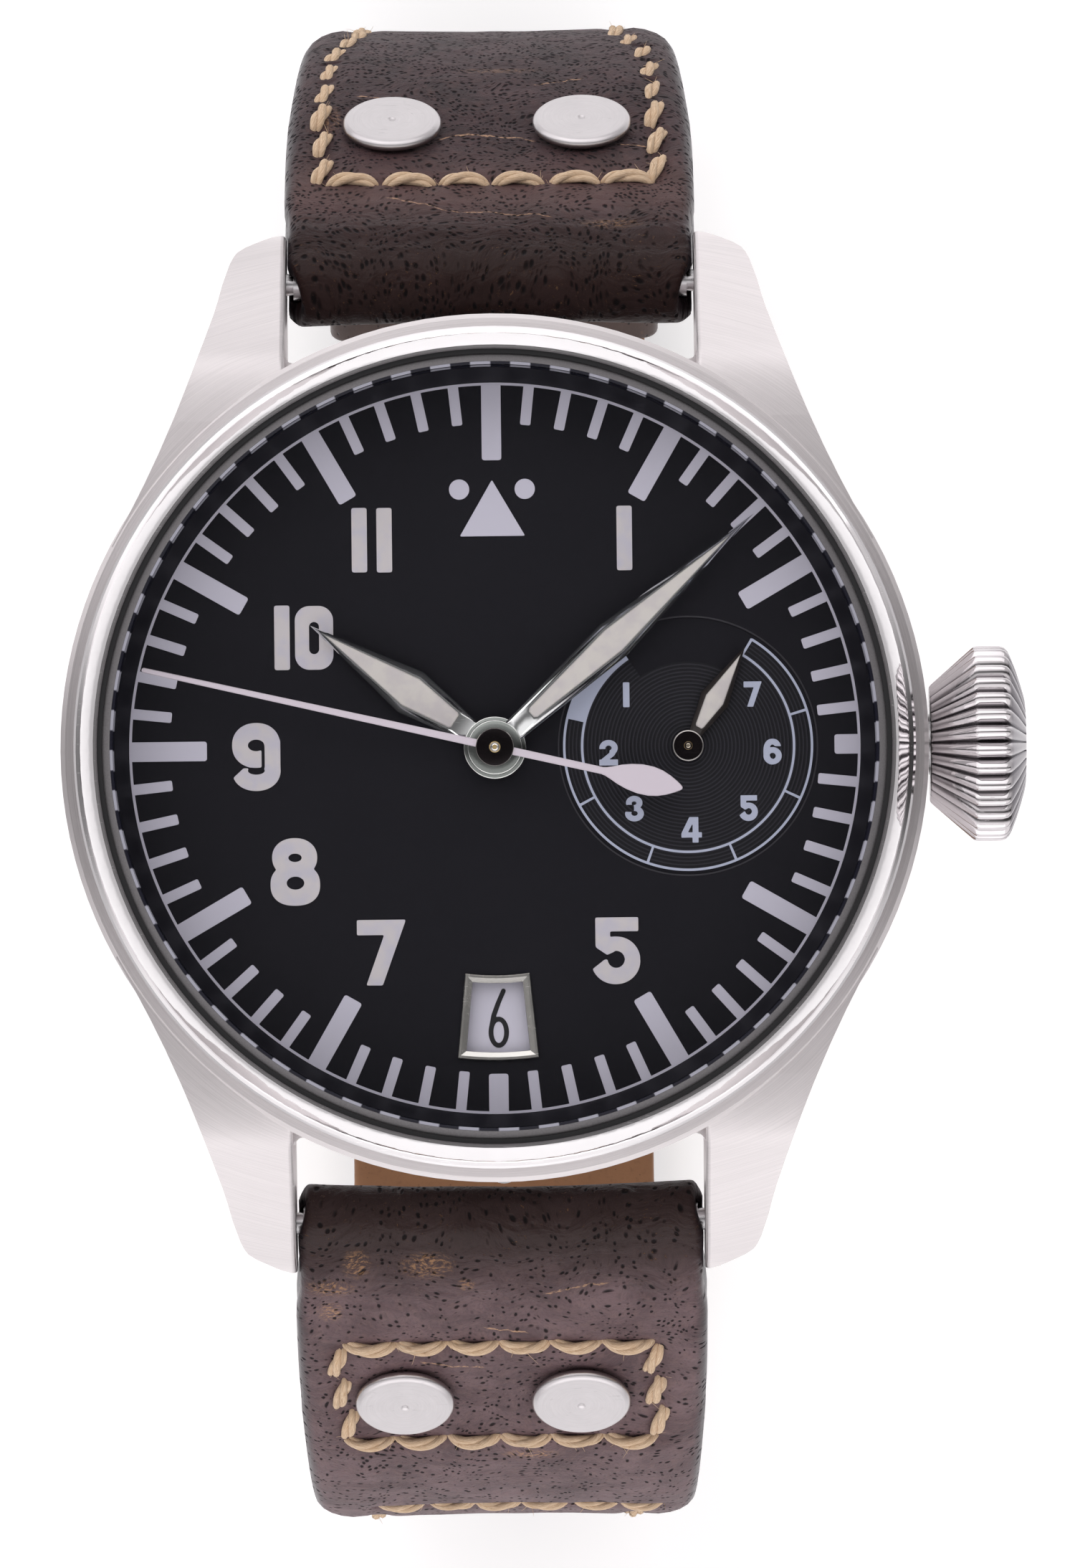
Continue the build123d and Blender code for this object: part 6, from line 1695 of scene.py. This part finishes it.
# ============================================================ keepers
def keeper(name, node, body, s, w_in, inner, outer, wall, length):
    c, n, t = H12.frame(s)
    mid_h = (outer - inner) / 2
    hx, hy = w_in / 2 + wall / 2, (inner + outer) / 2 + wall / 2
    r = 0.85
    path = []
    for cx, cy, a0 in ((hx - r, hy - r, 0), (-hx + r, hy - r, 90), (-hx + r, -hy + r, 180), (hx - r, -hy + r, 270)):
        for i in range(7):
            a = math.radians(a0 + 90 * i / 6)
            path.append((cx + r * math.cos(a), cy + r * math.sin(a), math.cos(a), math.sin(a)))
    fine = []
    m = len(path)
    for i in range(m):
        a, b = path[i], path[(i + 1) % m]
        gap = math.hypot(b[0] - a[0], b[1] - a[1])
        k = max(1, int(gap / 0.8))
        for j in range(k):
            fr = j / k
            fine.append(tuple(a[q] + (b[q] - a[q]) * fr for q in range(4)))
    L, wl = length / 2, wall / 2
    rc = min(0.28, wl * 0.8)
    sect = []
    for sx, sy, a0 in ((1, 1, 0), (-1, 1, 90), (-1, -1, 180), (1, -1, 270)):
        for i in range(4):
            a = math.radians(a0 + 90 * i / 3)
            sect.append((sx * (L - rc) + rc * math.cos(a), sy * (wl - rc) + rc * math.sin(a)))
    extra = []
    for i in range(len(sect)):
        a, b2 = sect[i], sect[(i + 1) % len(sect)]
        gap = math.hypot(b2[0] - a[0], b2[1] - a[1])
        k = max(1, int(gap / 0.6))
        for j in range(k):
            extra.append((a[0] + (b2[0] - a[0]) * j / k, a[1] + (b2[1] - a[1]) * j / k))
    rows, uvs = [], []
    run = 0.0
    for i, (px, py, nx, ny) in enumerate(fine):
        k = math.hypot(nx, ny)
        nx, ny = nx / k, ny / k
        row = []
        for a, d in extra:
            crown = -0.05 * (a / L) ** 2 if d > 0 else 0.0
            dd = d + crown + 0.02 * noise.noise(Vector((run * 0.8, a * 1.2, s)))
            p = c + Vector((px + nx * dd, 0, 0)) + n * (mid_h + py + ny * dd) + t * a
            row.append(tuple(p))
            uvs.append((run + 40.0, 30.0 + a))
        rows.append(row)
        j = (i + 1) % len(fine)
        run += math.hypot(fine[j][0] - px, fine[j][1] - py)
    rows.append(rows[0])
    uvs += [(run + 40.0, 30.0 + a) for a, d in extra]
    v, f = bridge(rows)
    ob = put_mesh(name, v, f, body, m_keeper, uv=uvs, sharp=50, slot="brown_leather", weld=0.0005)
    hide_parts(node)
    return ob


def keeper_leather():
    M = Mat("keeper_dark_leather")
    uv = M.uv("skin")
    n = M.noise(uv, 3.0, 4.0, 0.65)
    d = M.voronoi(M.vmath("MULTIPLY", uv, (1.2, 1.0, 1.0)), 2.3, "F1", 0.85)
    pore = M.math("SUBTRACT", 1.0, M.ramp(d, 0.08, 0.24))
    tone = M.noise(uv, 0.4, 3.0)
    col = M.mix(tone, srgb(46, 34, 31), srgb(82, 64, 58))
    col = M.mix(M.math("MULTIPLY", M.ramp(n, 0.6, 0.75), 0.35), col, srgb(120, 86, 62))
    col = M.mix(M.math("MULTIPLY", pore, 0.85), col, srgb(14, 9, 8))
    h = M.math("SUBTRACT", M.math("MULTIPLY", n, 0.4), M.math("MULTIPLY", pore, 0.7))
    M.set(base=col, rough=M.mixf(n, 0.38, 0.6), spec=0.42, sheen=0.2, normal=M.bump(h, 0.10, 0.7))
    return M.m


m_keeper = keeper_leather()
S_FIXED = H12.total - 9.0
keeper("keeper_fixed_leather", "fixed_keeper", "strap_half_12", S_FIXED, H12.width(S_FIXED) + 0.1, 1.92, 3.7, 0.75, 4.6)
S_FLOAT = s12_leg0 + leg12 + 20.0 * math.radians(36)
keeper("keeper_loose_leather", "floating_keeper", "keeper", S_FLOAT, 19.7, 1.95, 4.0, 1.0, 5.0)

# ============================================================ buckle
FRONT_Y, FRONT_Z = be_y - 12.2, FLOOR + 3.51
slope = math.atan2(be_z - FRONT_Z, be_y - FRONT_Y)
flen = math.hypot(be_z - FRONT_Z, be_y - FRONT_Y)
fy_ = Vector((0, math.cos(slope), math.sin(slope)))
fz_ = Vector((0, -math.sin(slope), math.cos(slope)))


def buckle_mesh():
    cx, y_front, y_end, r = 10.52, -0.25, flen + 0.2, 2.4
    path = []
    for i in range(8):
        path.append((cx, y_end + (y_front + r - y_end) * i / 8))
    for i in range(9):
        a = math.radians(0 - 90 * i / 8)
        path.append((cx - r + r * math.cos(a), y_front + r + r * math.sin(a)))
    for i in range(1, 12):
        path.append((cx - r - 2 * (cx - r) * i / 12, y_front))
    for i in range(9):
        a = math.radians(270 - 90 * i / 8)
        path.append((-(cx - r) + r * math.cos(a), y_front + r + r * math.sin(a)))
    for i in range(1, 9):
        path.append((-cx, y_front + r + (y_end - y_front - r) * i / 8))
    rows = []
    n = len(path)
    ends = [(0.35, -0.95), (0.75, -0.62), (0.94, -0.25)]
    full = []
    p0, p1 = Vector(path[0]), Vector(path[1])
    d0 = (p0 - p1).normalized()
    for k, back in ends:
        full.append((p0 - d0 * back, k, (p1 - p0).normalized()))
    for i in range(n):
        a, b = Vector(path[max(0, i - 1)]), Vector(path[min(n - 1, i + 1)])
        full.append((Vector(path[i]), 1.0, (b - a).normalized()))
    pn, pm = Vector(path[-1]), Vector(path[-2])
    dn = (pn - pm).normalized()
    for k, back in reversed(ends):
        full.append((pn - dn * back, k, dn))
    for p, k, d in full:
        side = Vector((-d.y, d.x))
        mid = 1 - smooth01((abs(p.x) - 5.0) / 5.0)
        row = []
        for j in range(20):
            a = 2 * math.pi * j / 20
            ca, sa = math.cos(a), math.sin(a)
            px = (abs(ca) ** 0.62) * (1 if ca > 0 else -1) * (1.16 + 0.14 * mid) * k
            pz = (abs(sa) ** 0.70) * (1 if sa > 0 else -1) * 1.27 * k
            q = p + side * px
            w = Vector((q.x, 0, 0)) + fy_ * q.y + fz_ * pz
            row.append(tuple(Vector((0, FRONT_Y, FRONT_Z)) + w))
        rows.append(row)
    v, f = bridge(rows)
    m = len(rows[0])
    f.append(tuple(range(m))[::-1])
    f.append(tuple(range(len(v) - m, len(v))))
    return v, f


v, f = buckle_mesh()
bk = put_mesh("buckle_frame_polished", v, f, "buckle", m_buckle, sharp=50, slot="polished_steel", uv=[(p[0], p[1]) for p in v])
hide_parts("buckle_frame")
tip = Vector((0, FRONT_Y, FRONT_Z)) - fz_ * (1.3 + 0.85 + 0.31)
eye = Vector((0, be_y, be_z))
tdir = (tip - eye).normalized()
tl = (tip - eye).length
tb = Bag()
tpts, trad = [], []
for i in range(15):
    fpos = i / 14
    d = 1.15 + (tl + 1.05 - 1.15) * fpos
    tpts.append(eye + tdir * d)
    trad.append((0.84 - 0.10 * fpos) * (1.0 if i < 13 else (0.80 if i == 13 else 0.35)))
tb.add(*tube(tpts, trad, 20, up=Vector((1, 0, 0))))
eye_prof = [(0.82, -1.0), (0.90, -1.08), (1.38, -1.08), (1.48, -0.98), (1.48, 0.98), (1.38, 1.08), (0.90, 1.08), (0.82, 1.0), (0.82, -1.0)]
tb.add(*lathe(eye_prof, 48, tuple(eye), (Vector((0, 1, 0)), Vector((0, 0, 1)), Vector((1, 0, 0)))))
tang = tb.make("buckle_tang_polished", "tang", m_buckle, sharp=50, slot="polished_steel")
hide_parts("buckle_tang")

# ============================================================ finishes of the CAD nodes that stay
FINISH = {
    "case_middle": m_case, "bezel": m_bezel, "crystal": m_glass, "crystal_gasket": m_seal, "case_back": m_back, "case_back_gasket": m_seal,
    "movement_ring": m_iron, "dial_flange": m_dial, "dial": m_dial, "date_disc": m_date, "mainplate": m_plate, "barrel_bridge": m_plate,
    "train_bridge": m_plate, "balance_cock": m_plate, "pallet_bridge": m_plate, "bridge_screws": m_hard, "rotor_bearing": m_hard,
    "rotor": m_rotor, "center_wheel": m_gilt, "cannon_pinion": m_hard, "third_wheel": m_gilt, "fourth_wheel": m_gilt, "escape_wheel": m_hard,
    "pallet_fork": m_hard, "balance_wheel": m_gilt, "hairspring": m_spring, "barrel": m_gilt, "mainspring": m_spring, "barrel_arbor": m_hard,
    "minute_wheel": m_gilt, "hour_wheel": m_gilt, "reserve_wheel": m_gilt, "crown_tube": m_bar, "crown_gasket": m_seal, "winding_stem": m_hard,
    "setting_lever": m_hard, "spring_bar_12": m_bar, "spring_bar_6": m_bar, "buckle_bar": m_bar,
}
for name, ob in NODES.items():
    m = FINISH.get(name)
    if m is None:
        continue
    if not ob.data.materials:
        ob.data.materials.append(m)
    for i in range(len(ob.data.materials)):
        ob.data.materials[i] = m

# ============================================================ studio
floor_mesh = bpy.data.meshes.new("studio_floor")
size = 2.5
floor_z = (FLOOR - 0.06) * MM
floor_mesh.from_pydata([(-size, -size, floor_z), (size, -size, floor_z), (size, size, floor_z), (-size, size, floor_z)], [], [(0, 1, 2, 3)])
floor = bpy.data.objects.new("studio_floor", floor_mesh)
scene.collection.objects.link(floor)
F = Mat("studio_floor_white_glow_side_shade")
fn = F.noise(F.mm(F.obj()), 0.004, 2.0)
# painted light: the floor glows near the watch to lift the shadows under it, and is painted darker far to the left and
# right as shade
far_side_shade = F.ramp(F.math("ABSOLUTE", F.sep(F.mm(F.obj()))[0]), 45.0, 210.0)
F.set(base=F.mix(far_side_shade, F.mix(fn, (0.86, 0.86, 0.865), (0.89, 0.89, 0.89)), (0.60, 0.60, 0.605)), rough=0.75, spec=0.2, emit=F.mixf(far_side_shade, 0.30, 0.0),
      emitcol=(1.0, 1.0, 1.0))
floor_mesh.materials.append(F.m)


def softbox(name, at, to, sx, sy, watts, colour=(1, 1, 1)):
    d = bpy.data.lights.new(name, "AREA")
    d.shape = "RECTANGLE"
    d.size, d.size_y = sx, sy
    d.energy = watts
    d.color = colour
    o = bpy.data.objects.new(name, d)
    scene.collection.objects.link(o)
    o.location = at
    o.rotation_euler = (Vector(to) - Vector(at)).to_track_quat("-Z", "Y").to_euler()
    return o


softbox("soft_top", (0.06, 0.46, 0.42), (0, 0.0, 0), 0.90, 0.50, 1.0, (1.0, 0.985, 0.99))
softbox("soft_low", (0.0, -0.56, 0.36), (0, 0, 0), 0.90, 0.50, 0.9, (1.0, 0.985, 0.985))

world = bpy.data.worlds.new("studio")
scene.world = world
world.use_nodes = True
wn = world.node_tree
wn.nodes.clear()
tc = wn.nodes.new("ShaderNodeTexCoord")
sx_ = wn.nodes.new("ShaderNodeSeparateXYZ")
wn.links.new(tc.outputs["Generated"], sx_.inputs[0])


def wnode(kind, inputs, **props):
    n = wn.nodes.new(kind)
    for k, v in props.items():
        setattr(n, k, v)
    for s, v in zip(n.inputs, inputs):
        if isinstance(v, bpy.types.NodeSocket):
            wn.links.new(v, s)
        else:
            s.default_value = v
    return n.outputs[0]


# two broad bright walls beyond 12 and beyond 6, dimmer to the left and right and straight above
ay = wnode("ShaderNodeMath", (sx_.outputs[1], 0.0), operation="ABSOLUTE")
wall = wnode("ShaderNodeMapRange", (ay, 0.03, 0.34, 0.0, 1.0), interpolation_type="SMOOTHSTEP")
side = wnode("ShaderNodeMapRange", (sx_.outputs[0], -0.30, 0.55, 0.24, 0.06))
wside = wnode("ShaderNodeMapRange", (sx_.outputs[1], -0.6, 0.6, 1.16, 1.06))
upper = wnode("ShaderNodeMapRange", (sx_.outputs[1], 0.0, 0.30, 0.0, -0.6))
skew = wnode("ShaderNodeMath", (wnode("ShaderNodeMath", (sx_.outputs[0], upper), operation="MULTIPLY"), 1.0), operation="ADD")
wx = wnode("ShaderNodeClamp", (skew, 0.62, 1.45))
walls = wnode("ShaderNodeMath", (wnode("ShaderNodeMath", (wall, wside), operation="MULTIPLY"), wx), operation="MULTIPLY")
sides = wnode("ShaderNodeMath", (wnode("ShaderNodeMath", (1.0, wall), operation="SUBTRACT"), side), operation="MULTIPLY")
level = wnode("ShaderNodeMath", (walls, sides), operation="ADD")
bg = wn.nodes.new("ShaderNodeBackground")
tint = wn.nodes.new("ShaderNodeVectorMath")
tint.operation = "SCALE"
tint.inputs[0].default_value = (1.0, 0.975, 0.985)
wn.links.new(level, tint.inputs["Scale"])
wn.links.new(tint.outputs[0], bg.inputs[0])
bg.inputs[1].default_value = 1.0
wo = wn.nodes.new("ShaderNodeOutputWorld")
wn.links.new(bg.outputs[0], wo.inputs[0])

# camera: nearly square above the dial, leaning a little towards 6 o'clock
PX = 26.2
c_, s_ = math.cos(TILT), math.sin(TILT)
right = Vector((c_, -s_, 0))
up = Vector((s_, c_, 0))
lean = math.radians(1.35)
dist = 560.0
focus = Vector((0, 0, 10.0)) + right * (59.5 / PX) - up * (50.5 / PX)
back = (Vector((0, 0, 1)) * math.cos(lean) - up * math.sin(lean)).normalized()
cam_up = (up * math.cos(lean) + Vector((0, 0, 1)) * math.sin(lean)).normalized()
cam_data = bpy.data.cameras.new("camera")
cam = bpy.data.objects.new("camera", cam_data)
scene.collection.objects.link(cam)
rot = Matrix((right, cam_up, back)).transposed().to_4x4()
cam.matrix_world = Matrix.Translation((focus + back * dist) * MM) @ rot
cam_data.sensor_fit = "VERTICAL"
cam_data.sensor_height = 36.0
cam_data.sensor_width = 36.0
cam_data.lens = 36.0 * dist / (2187.0 / PX)
cam_data.clip_start, cam_data.clip_end = 0.01, 20.0
scene.camera = cam
scene.view_settings.view_transform = "Standard"
scene.view_settings.look = "None"
